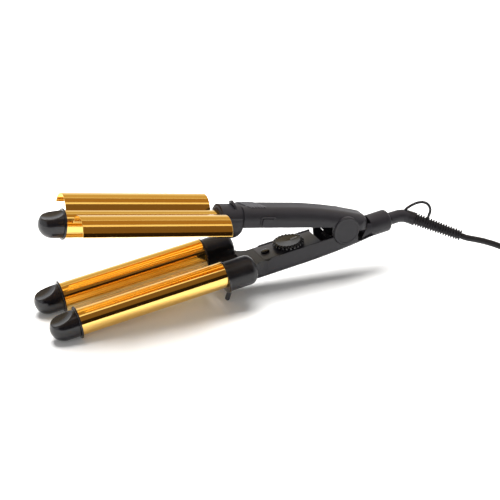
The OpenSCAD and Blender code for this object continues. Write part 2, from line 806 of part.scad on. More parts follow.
module wing_front() { upper_jaw() wing(-1); }

module wing_rear() { upper_jaw() wing(1); }

// Form of the upper arm, drawn in by t: straight, then bent down to a beak that turns over the cover
module upper_form(t) {
  union() {
    beam(hood_rear - 4 + t, upper_bend_x, half_w - t, 0, upper_top - t, 1, 11 - t);
    intersection() {
      wheel(upper_bend_x, upper_top - upper_bend_r, upper_bend_r - t, half_w - t, 11 - t);
      union() {
        block([upper_bend_x - 1, -half_w - 1, -1], [beak_x, half_w + 1, 30]);
        wheel(beak_x, beak_z, beak_r - t, half_w - t, 11 - t);
      }
      union() {
        block([upper_bend_x - 1, -half_w - 1, -1], [0, half_w + 1, 30]);
        wheel(0, 0, beak_end - t, half_w - t, half_w - t);
      }
      block([upper_bend_x, -half_w - 1, 0], [beak_end + 1, half_w + 1, 30]);
    }
  }
}

module upper_handle() {
  color("dimgray") upper_jaw() difference() {
    union() {
      difference() {
        upper_form(0);
        upper_form(shell_t);
        block([hood_rear - 9, -half_w - 1, -1], [-10, half_w + 1, upper_edge]);
      }
      soft_bar_x(hood_front, hood_rear, hood_r, 1.8, 10, 0, hood_z);
      beam(hood_front + 1, hood_rear, hood_r - 0.3, hood_z, upper_top, 0.5, hood_r - 1);
      for (s = [-1, 1])
        bar_y(s * (half_w - 1.5) - 1.5, s * (half_w - 1.5) + 1.5, cheek_r);
      block([-16, -8, spring_r + spring_wire / 2 + 0.05], [-12, 8, upper_top - 5]);
      button_frame();
      thumb_lip();
    }
    bar_x(hood_front - 1, hood_front + 15, sleeve_r, 0, upper_rise);
    bar_x(hood_front, hood_rear + 4, wire_bore_r + 3, 0, upper_rise);
    bar_y(-half_w - 1, half_w + 1, pin_d / 2 + pin_gap);
    button_hole(0.3);
  }
}

// The raised frame round the side button
module button_frame() {
  translate([-button_reach, -half_w - 0.6, button_z]) rotate([-90, 0, 0])
    rounded_plate(button_l + 4, button_h + 3, 2.4, 0.6 + shell_t);
}

module button_hole(gap) {
  translate([-button_reach, -half_w - 5, button_z]) rotate([-90, 0, 0])
    rounded_plate(button_l + 2 * gap, button_h + 2 * gap, 1.6, 12);
}

// A plate of thickness t with round corners
module rounded_plate(l, w, r, t) {
  linear_extrude(t) union() {
    square([l - 2 * r, w], center = true);
    square([l, w - 2 * r], center = true);
    for (sx = [-1, 1]) for (sy = [-1, 1])
      translate([sx * (l / 2 - r), sy * (w / 2 - r)]) circle(r);
  }
}

// The low lip in front of the thumb rest, a slanted round fin
module thumb_lip() {
  translate([hood_rear - 10, 0, upper_top - 3.6]) rotate([0, -20, 0]) intersection() {
    bar_x(-1, 1, 8);
    block([-2, -9, -1], [2, 9, 9]);
  }
}

module upper_cover() {
  color("black") upper_jaw() difference() {
    block([hood_rear + 1, shell_t + seat_gap - half_w, upper_edge],
          [cover_rear, half_w - shell_t - seat_gap, upper_edge + 1.6]);
    for (s = [-1, 1])
      translate([-60, s * 6, 0]) cylinder(h = 10, r = 1.5);
  }
}

// Slanted grip ribs over the top of the upper arm
module thumb_grip() {
  color("black") upper_jaw() difference() {
    intersection() {
      upper_form(-0.6);
      union() {
        for (k = [0 : grip_ribs - 1])
          translate([grip_x + k * grip_step, 0, upper_top - 2]) rotate(grip_slant)
            translate([-0.9, -9, 0]) cube([1.8, 18, 8]);
        block([grip_x, -5, upper_top - 3], [grip_x + (grip_ribs - 1) * grip_step, 5, upper_top + 0.3]);
      }
    }
    upper_form(0);
    block([hood_front, -half_w, 0], [hood_rear - 4, half_w, upper_top + 5]);
  }
}

module side_button() {
  color("dimgray") upper_jaw() translate([-button_reach, -half_w - 1.6, button_z])
    rotate([-90, 0, 0]) rounded_plate(button_l, button_h, 1.6, 3.4);
}

module side_switch() {
  color("black") upper_jaw() union() {
    block([-button_reach - 5, -half_w + 1.9 + button_travel, button_z - 3],
          [-button_reach + 5, -half_w + 9, button_z + 3]);
    block([-button_reach - 3, -half_w + 8, upper_edge + 1.6], [-button_reach + 3, -half_w + 10, button_z + 3]);
  }
}

module pivot_cap(s) {
  color("dimgray") upper_jaw() rotate([s < 0 ? 180 : 0, 0, 0]) union() {
    bar_y(half_w, half_w + cap_t - 0.8, cap_r);
    translate([0, half_w + cap_t - 0.8 - eps, 0]) rotate([-90, 0, 0])
      cylinder(h = 0.8, r1 = cap_r, r2 = cap_r - 0.8);
    bar_y(half_w - 1, half_w + eps, pin_d / 2 + pin_gap);
  }
}

module pivot_cap_front() { pivot_cap(-1); }

module pivot_cap_rear() { pivot_cap(1); }

module case_screw(i) {
  color("silver") lower_jaw() translate([screw_x[i], 0, screw_z[i]]) difference() {
    union() {
      translate([0, 0, -1.8]) cylinder(h = 1.8, r = 2.9);
      cylinder(h = screw_len[i], r = 1.5);
    }
    for (a = [0, 90])
      rotate(a) translate([-1.8, -0.4, -2.8]) cube([3.6, 0.8, 1.8]);
  }
}

module case_screw_front() { case_screw(0); }

module case_screw_rear() { case_screw(1); }

// The swivel, its relief and the cord, all of which turn together
module swivel_neck() {
  color("dimgray") union() {
    lower_jaw() difference() {
      union() {
        bar_x(rear_reach - 15, elbow_x, neck_r, 0, swivel_z);
        bar_x(rear_reach - 13, rear_reach - 10, neck_r + 2, 0, swivel_z);
        translate([elbow_x, 0, swivel_z]) sphere(neck_r + 0.2);
      }
      bar_x(rear_reach - 16, elbow_x - 6, 3, 0, swivel_z);
    }
    relief_axis() cylinder(h = relief_start, r = relief_r - 0.2);
  }
}

// The frame of the relief: +Z runs out along it from the elbow, +X points down
module relief_axis() {
  translate(elbow) rotate([0, 90 + relief_drop, -relief_heading]) children();
}

module strain_relief() {
  color("dimgray") relief_axis() rotate_extrude() polygon(concat(
    [[0, relief_start], [relief_r, relief_start]],
    [for (k = [0 : relief_ribs - 1])
      let (z = rib_start + k * rib_step, r = relief_r - 1.1 * k / relief_ribs)
      each [[r, z], [r - 1.3, z], [r - 1.3, z + 0.45 * rib_step], [r, z + 0.45 * rib_step]]],
    [[relief_r - 1.1, relief_end], [0, relief_end]]));
}

// The hanging loop: a round strap that leaves the elbow and comes back down to the relief
module hang_loop() {
  color("dimgray") relief_axis() tube(loop_path, loop_r, 10, [0, 1, 0]);
}

module cord_free() { color("black") tube(cord_path, cord_d / 2, 10, [0, 0, 1]); }

module cord_coil() {
  color("black") tube(coil_path, cord_d / 2, 6, [0, 0, 1]);
  echo(coil_gap = near_gap(coil_path, cord_d, 12), spring_gap = spring_pitch - spring_wire);
}

module cord_tail() { color("black") tube(tail_path, cord_d / 2, 10, [0, 0, 1]); }

module cord_tie() {
  color("dimgray") translate(coil_centre) rotate(tie_angle) difference() {
    block([coil_in - cord_d / 2 - 1.3, -3, 0], [coil_out + cord_d / 2 + 1.3, 3, tie_top]);
    block([coil_in - cord_d / 2 - 0.4, -4, 0.9], [coil_out + cord_d / 2 + 0.4, 4, tie_top - 0.9]);
  }
}

module plug_body() {
  color("black") translate(plug_at) rotate(plug_turn) difference() {
    union() {
      translate([14, 0, 0]) block([0, -17.5, -plug_h / 2], [22, 17.5, plug_h / 2]);
      bar_x(0, 15, 5.2);
      bar_x(8, 15, 6.6);
    }
    for (s = [-1, 1])
      bar_x(28, 40, pin_root_r, s * pin_spread);
    for (s = [-1, 1])
      translate([13, s * 22, -10]) rotate([0, 0, s * 32]) cube([16, 12, 20], center = true);
  }
}

module plug_pin(s) {
  color("silver") translate(plug_at) rotate(plug_turn) union() {
    bar_x(28, 37, pin_root_r, s * pin_spread);
    bar_x(37, 54, pin_r, s * pin_spread);
    translate([54, s * pin_spread, 0]) sphere(pin_r);
  }
}

module plug_pin_front() { plug_pin(-1); }

module plug_pin_rear() { plug_pin(1); }

lower_barrel_front();
lower_barrel_rear();
lower_tip_front();
lower_tip_rear();
lower_collar_front();
lower_collar_rear();
heater_front();
heater_rear();
trough_plate();
yoke();
lower_handle();
rear_cover();
control_panel();
indicator_lens();
circuit_board();
dial_switch();
temperature_dial();
dial_pointer();
hinge_pin();
opening_spring();
stand_bracket();
stand_wire();
stand_foot_front();
stand_foot_rear();
upper_barrel();
upper_tip();
upper_collar();
heater_upper();
wing_front();
wing_rear();
upper_handle();
upper_cover();
thumb_grip();
side_button();
side_switch();
pivot_cap_front();
pivot_cap_rear();
case_screw_front();
case_screw_rear();
swivel_neck();
hang_loop();
strain_relief();
cord_free();
cord_coil();
cord_tie();
cord_tail();
plug_body();
plug_pin_front();
plug_pin_rear();
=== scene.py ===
# %% [markdown]
# # A three-barrel hair waver, dressed in Blender
#
# The object is a hair waver. A gold centre barrel with two curved wings is hinged over two gold lower
# barrels with a trough between them, and hair pressed in between is set in deep waves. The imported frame
# holds every solid in its place, in metres. This lesson gives them the surfaces, the finishes and the
# light of a studio photograph, and leaves every size alone.

# %% Load the frame
import math

import bmesh
import bpy
import numpy as np
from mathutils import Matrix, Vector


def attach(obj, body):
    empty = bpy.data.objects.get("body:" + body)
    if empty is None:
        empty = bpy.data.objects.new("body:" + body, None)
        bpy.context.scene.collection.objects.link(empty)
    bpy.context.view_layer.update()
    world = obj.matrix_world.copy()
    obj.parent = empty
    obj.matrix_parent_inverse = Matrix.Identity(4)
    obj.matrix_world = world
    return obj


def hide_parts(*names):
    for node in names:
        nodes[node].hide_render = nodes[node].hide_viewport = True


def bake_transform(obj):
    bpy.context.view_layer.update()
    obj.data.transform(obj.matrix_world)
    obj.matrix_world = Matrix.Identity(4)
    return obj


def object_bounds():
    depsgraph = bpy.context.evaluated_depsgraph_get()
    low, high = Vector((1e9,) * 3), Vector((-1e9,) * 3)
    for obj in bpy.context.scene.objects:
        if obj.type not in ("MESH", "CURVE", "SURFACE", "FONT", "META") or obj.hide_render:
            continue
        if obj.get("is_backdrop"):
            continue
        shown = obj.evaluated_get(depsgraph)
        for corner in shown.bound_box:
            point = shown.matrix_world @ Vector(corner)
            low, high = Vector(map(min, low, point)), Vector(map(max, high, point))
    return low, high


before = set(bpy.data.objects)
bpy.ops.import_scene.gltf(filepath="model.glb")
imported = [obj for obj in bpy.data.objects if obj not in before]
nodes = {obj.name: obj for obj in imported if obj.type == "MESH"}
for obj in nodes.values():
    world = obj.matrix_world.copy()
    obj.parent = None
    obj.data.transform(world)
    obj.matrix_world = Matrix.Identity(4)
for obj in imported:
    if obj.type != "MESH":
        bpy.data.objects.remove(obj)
cad_low, cad_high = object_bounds()
mm = 0.001

# %% [markdown]
# ## The two jaws and their level frames
#
# The real tool is two jaws on one pin, and at rest neither of them lies level. Each could be modelled
# where it rests, but then every number would hide a slope. So each jaw is drawn level with the hinge at
# its origin, in millimetres, and one function carries whole arrays of points to where that jaw rests.

# %% Sizes of the tool
hinge = np.array([103.412, 0.0, 51.1064])
lower_tilt, upper_tilt = 8.1, 9.6
jaw_opening = lower_tilt + upper_tilt
barrel_r, barrel_pitch, barrel_wall = 12.5, 28.0, 1.2
lower_rise, upper_rise = 3.2, 2.3
root_x, upper_root_x = -136.0, -120.4
tip_x, upper_tip_x = -278.0, -281.0
front_and_rear = ((-1, "front"), (1, "rear"))
print("the jaws stand open by", round(jaw_opening, 1), "degrees")


# %% The frames of the jaws
def about_y(degrees):
    """A turn about the Y axis, which lifts a point on -x for plus."""
    a = math.radians(degrees)
    return np.array([[math.cos(a), 0, math.sin(a)], [0, 1, 0], [-math.sin(a), 0, math.cos(a)]])


def about_z(degrees):
    """A turn about the Z axis, from x towards y for plus."""
    a = math.radians(degrees)
    return np.array([[math.cos(a), -math.sin(a), 0], [math.sin(a), math.cos(a), 0], [0, 0, 1]])


def tilted(points, degrees):
    """Level jaw frame in mm to the scene in m: a turn about the hinge, tips up for plus."""
    return (np.asarray(points, float) @ about_y(degrees).T + hinge) * mm


def lower_jaw(points):
    """The lower jaw slopes down to its tips, which rest on the table."""
    return tilted(points, -lower_tilt)


def upper_jaw(points):
    """The upper jaw is held open, so it slopes up to its tip."""
    return tilted(points, upper_tilt)


print("lower tip axis at", lower_jaw([tip_x, 0, lower_rise]).round(4))

# %% [markdown]
# ## The camera
#
# The photograph looks down on the tool by 25 degrees from its front left. A camera could be placed by
# eye. Here its lens and place come from matching the ends of the barrels, the hinge and the neck to the
# picture, so the barrels shrink towards the rear just as they do there. The view transform is Standard,
# which shows a colour as it is written.

# %% Camera
azimuth, elevation = 23.39, 25.03
camera_data = bpy.data.cameras.new("camera")
camera_data.lens = 86.84
camera_data.sensor_width = 36.0
camera_data.clip_end = 50.0
camera = bpy.data.objects.new("camera", camera_data)
camera.location = (-0.4102, -0.9661, 0.5328)
camera.rotation_euler = (math.radians(90 - elevation), 0, math.radians(-azimuth))
bpy.context.scene.collection.objects.link(camera)
bpy.context.scene.camera = camera
bpy.context.scene.view_settings.view_transform = "Standard"
print("camera at", tuple(camera.location))

# %% [markdown]
# ## From a grid of points to a piece
#
# These pieces could be built from Blender's own shapes, with a modifier for each detail. Here every new
# piece is a surface with two parameters instead: rows run one way and columns the other, and each cell of
# the grid is one four-sided face. A row that shrinks to one point is a pole, and joining the last column
# to the first closes the surface. Whole arrays are quick, and the shape is exactly what its formula says.

# %% Cells of a grid
weld_m, sliver_m = 2e-6, 1e-6


def grid_faces(rows, columns, loop_rows, loop_columns):
    """Corner numbers of each cell: (r, c), (r, c+1), (r+1, c+1), (r+1, c), wrapped where a loop is closed."""
    last_row = rows if loop_rows else rows - 1
    last_column = columns if loop_columns else columns - 1
    r, c = np.meshgrid(np.arange(last_row), np.arange(last_column), indexing="ij")
    below, right = (r + 1) % rows, (c + 1) % columns
    corners = [r * columns + c, r * columns + right, below * columns + right, below * columns + c]
    return np.stack(corners, -1).reshape(-1, 4)


print("3 x 4 points closed one way have", len(grid_faces(3, 4, False, True)), "cells")


# %% Grids to pieces
def outward(points, faces):
    """The faces, turned round if the volume that they close is negative: the sum over the faces of
    a . (b x c) + a . (c x d), which is six times the volume."""
    a, b, c, d = (points[faces[:, k]] for k in range(4))
    volume = np.einsum("ij,ij->", a, np.cross(b, c)) + np.einsum("ij,ij->", a, np.cross(c, d))
    return faces if volume > 0 else faces[:, ::-1]


def piece(name, grids, body, finish, loop_rows=False, sharp=35, covers=()):
    """One object from one or more closed grids: doubles merged, faces turned outwards, and shaded smooth
    where two faces meet at less than the sharp angle."""
    if isinstance(grids, np.ndarray):
        grids = [grids]
    points, faces, start = [], [], 0
    for grid in grids:
        flat = grid.reshape(-1, 3)
        points.append(flat)
        faces.append(outward(flat, grid_faces(*grid.shape[:2], loop_rows, True)) + start)
        start += len(flat)
    mesh = bpy.data.meshes.new(name)
    mesh.from_pydata(np.vstack(points).tolist(), [], np.vstack(faces).tolist())
    work = bmesh.new()
    work.from_mesh(mesh)
    bmesh.ops.remove_doubles(work, verts=work.verts, dist=weld_m)
    bmesh.ops.dissolve_degenerate(work, edges=work.edges, dist=sliver_m)
    work.to_mesh(mesh)
    work.free()
    mesh.shade_smooth()
    mesh.set_sharp_from_angle(angle=math.radians(sharp))
    mesh.materials.append(finish)
    obj = bpy.data.objects.new(name, mesh)
    bpy.context.scene.collection.objects.link(obj)
    if covers:
        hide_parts(*covers)
    if body:
        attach(obj, body)
    edge_of = np.zeros(len(mesh.loops), np.int32)
    mesh.loops.foreach_get("edge_index", edge_of)
    open_edges = int((np.bincount(edge_of) == 1).sum())
    print(f"{name}: {len(mesh.polygons)} faces, {open_edges} open edges")
    return obj


# %% Routes and tubes
def unit(v):
    """Each vector divided by its own length."""
    return v / np.linalg.norm(v, axis=-1, keepdims=True)


def smooth_route(points, per=6):
    """A smooth line through its points: between two of them runs the cubic whose end directions are half
    the step between the neighbours on either side."""
    p = np.asarray(points, float)
    p = np.vstack([2 * p[0] - p[1], p, 2 * p[-1] - p[-2]])
    t = (np.arange(per) / per)[None, :, None]
    a, b, c, d = (p[k : len(p) - 3 + k, None] for k in range(4))
    q = 0.5 * (2 * b + (c - a) * t + (2 * a - 5 * b + 4 * c - d) * t**2 + (3 * b - a - 3 * c + d) * t**3)
    return np.vstack([q.reshape(-1, 3), p[-2]])


def tube(route, radius, sides=16, up=(0, 0, 1)):
    """Circles of the given radius square to the route: point = route + r (cos a across + sin a over).
    Each end is closed by a pole."""
    route = np.asarray(route, float)
    run = unit(np.gradient(route, axis=0))
    across = unit(np.cross(np.asarray(up, float), run))
    over = np.cross(run, across)
    a = np.arange(sides) * 2 * np.pi / sides
    r = np.broadcast_to(radius, len(route))[:, None, None]
    spoke = np.cos(a)[None, :, None] * across[:, None] + np.sin(a)[None, :, None] * over[:, None]
    first = np.broadcast_to(route[0], (1, sides, 3))
    last = np.broadcast_to(route[-1], (1, sides, 3))
    return np.concatenate([first, route[:, None] + r * spoke, last])


print("a route through 3 points gets", len(smooth_route(np.eye(3))), "points")

# %% [markdown]
# ## The cord
#
# A mains lead is one flexible tube of fixed length. It leaves the ribbed relief straight, sinks to the
# table under its own weight, and the rest of it is wound into a flat storage coil just outside the
# picture, with the plug laid on the turns. It could be a bevelled curve, but a route worked out here can
# be measured, and one round section runs along it from the relief to the plug, so no joint shows.

# %% Where the cord leaves the tool
cord_d = 6.2
elbow = np.array([175.324, 0.0, 49.7252])
relief_heading, relief_drop, relief_start, relief_end = 44.5, 12.5, 8.0, 62.0


def relief_frame(points):
    """The frame of the relief: z runs out along it from the elbow, x points down, y across."""
    turn = about_z(-relief_heading) @ about_y(90 + relief_drop)
    return np.asarray(points, float) @ turn.T + elbow


cord_exit = relief_frame([0, 0, relief_end])
print("the cord leaves its relief at", cord_exit.round(1), "mm")

# %% The turns of the coil
coil_centre = np.array([331.0, -91.0, 0.0])
coil_turns, coil_pitch, coil_in, coil_start_angle = 7.125, 6.7, 23.4, -135
points_a_turn, first_layer_z, layer_step = 24, 3.9, 6.4

# the turns run inwards on the table for the first half, climb one layer, and run outwards on top
turns = np.arange(0, coil_turns + 1e-9, 1 / points_a_turn)
turn_angle = np.radians(coil_start_angle + 360 * turns)
turn_r = coil_in + coil_pitch * np.abs(turns - coil_turns / 2)
turn_z = first_layer_z + layer_step * np.clip(2 * (turns - coil_turns / 2) + 0.5, 0, 1)
coil_points = coil_centre + np.stack([turn_r * np.cos(turn_angle), turn_r * np.sin(turn_angle), turn_z], -1)
print("coil:", round(2 * turn_r.max() + cord_d), "mm across outside")

# %% The whole route
plug_at = np.array([362.8, -102.2, 20.6])
cord_free_points = [[232, -55, 34.2], [241, -64.2, 32.8], [250, -73.4, 29.9], [258.3, -82.2, 24.9],
                    [266.4, -91.2, 18.2], [274, -100.1, 11.6], [282.2, -109.8, 5.9], [293.2, -120.04, 4]]
cord_end_points = [[339.2, -138.27, 10.4], [349.8, -134.9, 11.4], [355.4, -130.9, 13.8],
                   [359.5, -125.4, 16.4], [361.9, -118.6, 18.3], plug_at - [0, 8, 0.3], plug_at + [0, 2, 0]]
cord_points = np.vstack([cord_exit, relief_frame([0, 0, relief_end + cord_d]), cord_free_points,
                         coil_points, cord_end_points])
cord_route = smooth_route(cord_points, 4)

# %% [markdown]
# ## Colours and nodes
#
# A colour code is sRGB, while the renderer works with light in equal steps, so one function turns the
# first into the second. A material is a small network. It could be wired by hand in the editor, but
# written out it can be read and repeated: one function adds a node, sets its values and links its sockets.


# %% Colour codes
def colour(code):
    """sRGB hex to linear: c / 12.92 below 0.04045, else ((c + 0.055) / 1.055) to the power 2.4."""
    c = np.array([int(code[k : k + 2], 16) for k in (1, 3, 5)]) / 255
    return (*np.where(c <= 0.04045, c / 12.92, ((c + 0.055) / 1.055) ** 2.4).tolist(), 1.0)


white = (1, 1, 1, 1)
print("gold is", [round(v, 3) for v in colour("#f0bd58")])


# %% Node networks
def empty_tree(holder):
    """The node tree of a material or a world, with nothing in it."""
    holder.use_nodes = True
    holder.node_tree.nodes.clear()
    return holder.node_tree


def add(tree, kind, inputs=None, **settings):
    """Adds a node; a socket among the inputs is linked, and any other value is set."""
    made = tree.nodes.new(kind)
    for key, value in settings.items():
        setattr(made, key, value)
    for key, value in (inputs or {}).items():
        if isinstance(value, bpy.types.NodeSocket):
            tree.links.new(value, made.inputs[key])
        else:
            made.inputs[key].default_value = value
    return made


def new_finish(name):
    """A material with only a shader: itself, its tree, the shader and the object coordinates, in metres."""
    finish = bpy.data.materials.new(name)
    tree = empty_tree(finish)
    shader = add(tree, "ShaderNodeBsdfPrincipled")
    add(tree, "ShaderNodeOutputMaterial", {"Surface": shader.outputs["BSDF"]})
    place = add(tree, "ShaderNodeTexCoord").outputs["Object"]
    return finish, tree, shader, place


def drifting_tint(tree, shader, vector, patch, detail, main, drift):
    """Base colour = main and drift mixed by a slow noise, which is returned; its patches are given in mm."""
    slow = add(tree, "ShaderNodeTexNoise", {"Vector": vector, "Scale": 1 / (patch * mm), "Detail": detail})
    tint = add(tree, "ShaderNodeMix", {"Factor": slow.outputs["Fac"], "A": colour(main), "B": colour(drift)},
               data_type="RGBA")
    tree.links.new(tint.outputs["Result"], shader.inputs["Base Color"])
    return slow.outputs["Fac"]


def raised_grain(tree, shader, vector, scale, detail, strength, depth):
    """Normal = a fine noise as a bump of the given depth in mm; the noise is returned."""
    fine = add(tree, "ShaderNodeTexNoise", {"Vector": vector, "Scale": scale, "Detail": detail})
    bump = add(tree, "ShaderNodeBump",
               {"Height": fine.outputs["Fac"], "Strength": strength, "Distance": depth * mm})
    tree.links.new(bump.outputs["Normal"], shader.inputs["Normal"])
    return fine.outputs["Fac"]


print("finishes so far:", len(bpy.data.materials))

# %% [markdown]
# ## Gold barrels, wings and trough
#
# The barrels are drawn aluminium tubes, turned and polished, then coated with titanium nitride, a
# ceramic only a few thousandths of a millimetre thick that makes them hard and gold. The eye sees a
# mirror with a warm tint, hair-fine polishing lines round the tube, and a tint that drifts a little
# along its length. The wings are pressed sheet with the same coating: their lines run along the sheet,
# and the pressing leaves them a little less flat than a tube. The trough is pressed sheet too, and
# rougher; its gold is made paler and partly not metal, a painted brightness for the light that the
# upper jaw shades off it. A picture of brushed metal could be wrapped round them. A noise stretched
# along the lines needs no picture and never repeats.


# %% Gold finishes
def titanium_gold(name, main, drift, roughness, tilt, lines, depth, metal=1.0):
    """Metal whose tint drifts over 45 mm, turned level with its jaw. The lines are a noise with the given
    number of waves in a metre on each axis; they raise the surface by the depth in mm and vary its haze."""
    finish, tree, shader, place = new_finish(name)
    turned_level = (0, math.radians(tilt), 0)
    level = add(tree, "ShaderNodeMapping", {"Vector": place, "Rotation": turned_level}).outputs[0]
    drifting_tint(tree, shader, level, 45, 1.0, main, drift)
    stretched = add(tree, "ShaderNodeMapping", {"Vector": level, "Scale": lines}).outputs[0]
    fine = raised_grain(tree, shader, stretched, 1.0, 2.0, 0.5, depth)
    hazy = add(tree, "ShaderNodeMapRange",
               {"Value": fine, "To Min": roughness * 0.75, "To Max": roughness * 1.35})
    tree.links.new(hazy.outputs["Result"], shader.inputs["Roughness"])
    shader.inputs["Metallic"].default_value = metal
    return finish


# on the real tube the polishing lines are 0.02 mm apart; they are drawn 0.5 mm apart so that they show
turned_lines = (2000, 30, 30)
# rolled sheet has finer lines still, along it; they are drawn 1.4 mm apart and 170 mm long
rolled_lines = (6, 700, 700)

# a mirror: the tube is polished before it is coated, and the coating copies what lies under it
gold_lower_barrel = titanium_gold("titanium_nitride_on_turned_tube_lower", "#f8d27c", "#f2c468", 0.07,
                                  lower_tilt, turned_lines, 0.0016)
gold_upper_barrel = titanium_gold("titanium_nitride_on_turned_tube_upper", "#f8d27c", "#f2c468", 0.07,
                                  -upper_tilt, turned_lines, 0.0016)
# nearly a mirror: the press stretches the sheet, which wavers the reflections a little
gold_wing = titanium_gold("titanium_nitride_on_pressed_wing", "#f6cb70", "#f0bd5e", 0.09,
                          -upper_tilt, rolled_lines, 0.003)
# a soft sheen, with the gold made paler and partly not metal: painted brightness where the upper jaw shades
# the trough
gold_trough = titanium_gold("pale_gold_trough_painted_brightness", "#ffe8ac", "#fbdf9c", 0.26,
                            lower_tilt, rolled_lines, 0.003, metal=0.4)
print("gold finishes made:", len(bpy.data.materials))

# %% [markdown]
# ## Plastics and rubbers
#
# The arms are moulded ABS in charcoal, spark-eroded in the mould so that they feel dry: a faint grain of
# about 0.3 mm that spreads the highlights. The tips, collars and yoke stand next to 200 degrees of heat
# and are glass-filled nylon, smoother and nearly black. The dial and the lens are polished. The strap,
# the relief and the cord are soft rubber and PVC. Each could have a network of its own, but all of them
# come out of a mould or a die, so one recipe fits: a body colour that varies a little, and a grain whose
# size and depth are those of the tool that formed it.


# %% The recipe for moulded finishes
def moulded(name, body, pale, roughness, grain, depth, level=0.5, patch=14.0):
    """Plastic: colour and roughness drift over patches of the given size in mm, and the grain is a bump,
    its size and depth in mm. The level is the strength of the gloss, 0.5 for a plain plastic."""
    finish, tree, shader, place = new_finish(name)
    slow = drifting_tint(tree, shader, place, patch, 2.0, body, pale)
    raised_grain(tree, shader, place, 1 / (grain * mm), 3.0, 0.6, depth)
    rough = add(tree, "ShaderNodeMapRange",
                {"Value": slow, "To Min": roughness * 0.88, "To Max": roughness * 1.12})
    tree.links.new(rough.outputs["Result"], shader.inputs["Roughness"])
    shader.inputs["Specular IOR Level"].default_value = level
    return finish


# %% Hard plastics
# ABS from a spark-eroded mould: a dry satin that spreads every highlight
charcoal_abs = moulded("charcoal_abs_eroded_mould", "#242327", "#2a292d", 0.45, 0.35, 0.02, level=0.3)
# glass-filled nylon: nearly black, and a little uneven from the fibres under its skin
black_nylon = moulded("black_glass_filled_nylon_moulded", "#151416", "#1b1a1d", 0.3, 0.5, 0.012, level=0.35)
# nylon from a polished mould: a clear highlight on the round of the nose
tip_nylon = moulded("black_nylon_cool_tip_polished_mould", "#131216", "#19181c", 0.2, 0.8, 0.006)
# satin ABS, a shade paler than the arm, so that the panel reads as its own part
panel_abs = moulded("dark_grey_abs_panel_satin", "#343337", "#3b3a3e", 0.3, 0.3, 0.01, level=0.4)
# gloss ABS: each prong of the dial catches a small bright line
dial_abs = moulded("black_abs_dial_gloss", "#19191b", "#202023", 0.2, 0.9, 0.004)
# smoked acrylic, polished: almost a black mirror
lens_acrylic = moulded("smoked_acrylic_lens_polished", "#08080a", "#0c0b0e", 0.06, 2.0, 0.002)
# phenolic resin, pressed: a brownish black with a low gloss
pcb_switch = moulded("black_phenolic_switch_body", "#1d1c1c", "#262525", 0.4, 0.3, 0.01)
# glass cloth in epoxy: green, with the weave just felt through the resin
board_fr4 = moulded("green_glass_epoxy_board", "#1e4a2b", "#245733", 0.35, 0.5, 0.01)
print("finishes so far:", len(bpy.data.materials))

# %% Soft plastics, paint and blackened steel
# thermoplastic rubber, dull where the hand holds it, and a shade paler than the arm: a painted highlight for
# the light that its ridges catch
grip_rubber = moulded("rubber_grip_paled_painted_highlight", "#3f3e42", "#4a494e", 0.4, 0.25, 0.02)
# soft PVC, moulded over the cord: a waxy gloss on each rib
relief_rubber = moulded("black_soft_pvc_relief", "#1a191c", "#232226", 0.36, 0.4, 0.015, level=0.3)
# PVC pressed through a die: an even, slightly dry skin
cord_pvc = moulded("black_pvc_cord_extruded", "#141316", "#1b1a1d", 0.42, 0.6, 0.02, level=0.3)
# woven nylon band: rough, with threads of about 0.45 mm
tie_nylon = moulded("black_woven_nylon_tie", "#1b1a1c", "#28272a", 0.6, 0.45, 0.08)
# pad-printed ink: flat white on the dial
pointer_paint = moulded("white_pad_printed_mark", "#d9d8d6", "#e6e5e3", 0.4, 0.2, 0.01)
# steel with a black oxide skin: dark and dull, and no mirror
screw_steel = moulded("black_oxide_steel_screw", "#29282a", "#353436", 0.35, 0.3, 0.01)
print("finishes so far:", len(bpy.data.materials))

# %% [markdown]
# ## Bare metals
#
# The spring, the stand's wire and the hinge pin are zinc-plated steel, the plug's pins are nickel-plated
# brass, and the heater blocks are cast aluminium. They are small and mostly shaded, so one recipe is
# enough: a pure metal whose tint drifts over 6 mm, with a fine grain from drawing, turning or casting.


# %% Bare metal finishes
def bare_metal(name, main, drift, roughness, grain, depth):
    """Uncoated metal parts: a tint that drifts, and a fine scratch-like grain, its size and depth in mm."""
    finish, tree, shader, place = new_finish(name)
    drifting_tint(tree, shader, place, 6, 3.0, main, drift)
    raised_grain(tree, shader, place, 1 / (grain * mm), 3.0, 0.5, depth)
    shader.inputs["Roughness"].default_value = roughness
    shader.inputs["Metallic"].default_value = 1.0
    return finish


# drawn wire with a zinc plate: a cool, slightly cloudy grey
spring_steel = bare_metal("zinc_plated_spring_steel_drawn", "#b9bcc0", "#a8abaf", 0.3, 0.2, 0.004)
# turned brass with a nickel plate: a warm bright silver
pin_nickel = bare_metal("nickel_plated_brass_turned", "#d5cfc2", "#c9c2b4", 0.18, 0.2, 0.003)
# cast aluminium: dull, with the grain of the mould
heater_aluminium = bare_metal("cast_aluminium_heater_block", "#b4b4b2", "#a2a2a0", 0.45, 0.4, 0.02)
print("finishes made:", len(bpy.data.materials))

# %% [markdown]
# ## Cord, tie and plug as pieces
#
# The route above becomes a tube with twenty sides, which is round even close up. The tie is a woven
# band round all the turns. The plug is the common flat two-pin body that grows from the round cord to a
# flat oval, with a soft waist for the thumb. Both could be cut from boxes and bevelled. A superellipse
# does it in one formula, because one power takes it from a circle to a rounded box.

# %% The cord
cord = piece("mains_cord", tube(cord_route, cord_d / 2, 20) * mm, "cord_swivel", cord_pvc,
             covers=("cord_free", "cord_coil", "cord_tail"))


# %% Sections and rounded corners
def superellipse(a, half_width, half_height, power):
    """Points where |y / w| to the power plus |z / h| to the power is one: a circle (2) to a box (high)."""
    c, s = np.cos(a), np.sin(a)
    y = half_width * np.sign(c) * np.abs(c) ** (2 / power)
    z = half_height * np.sign(s) * np.abs(s) ** (2 / power)
    return y, z


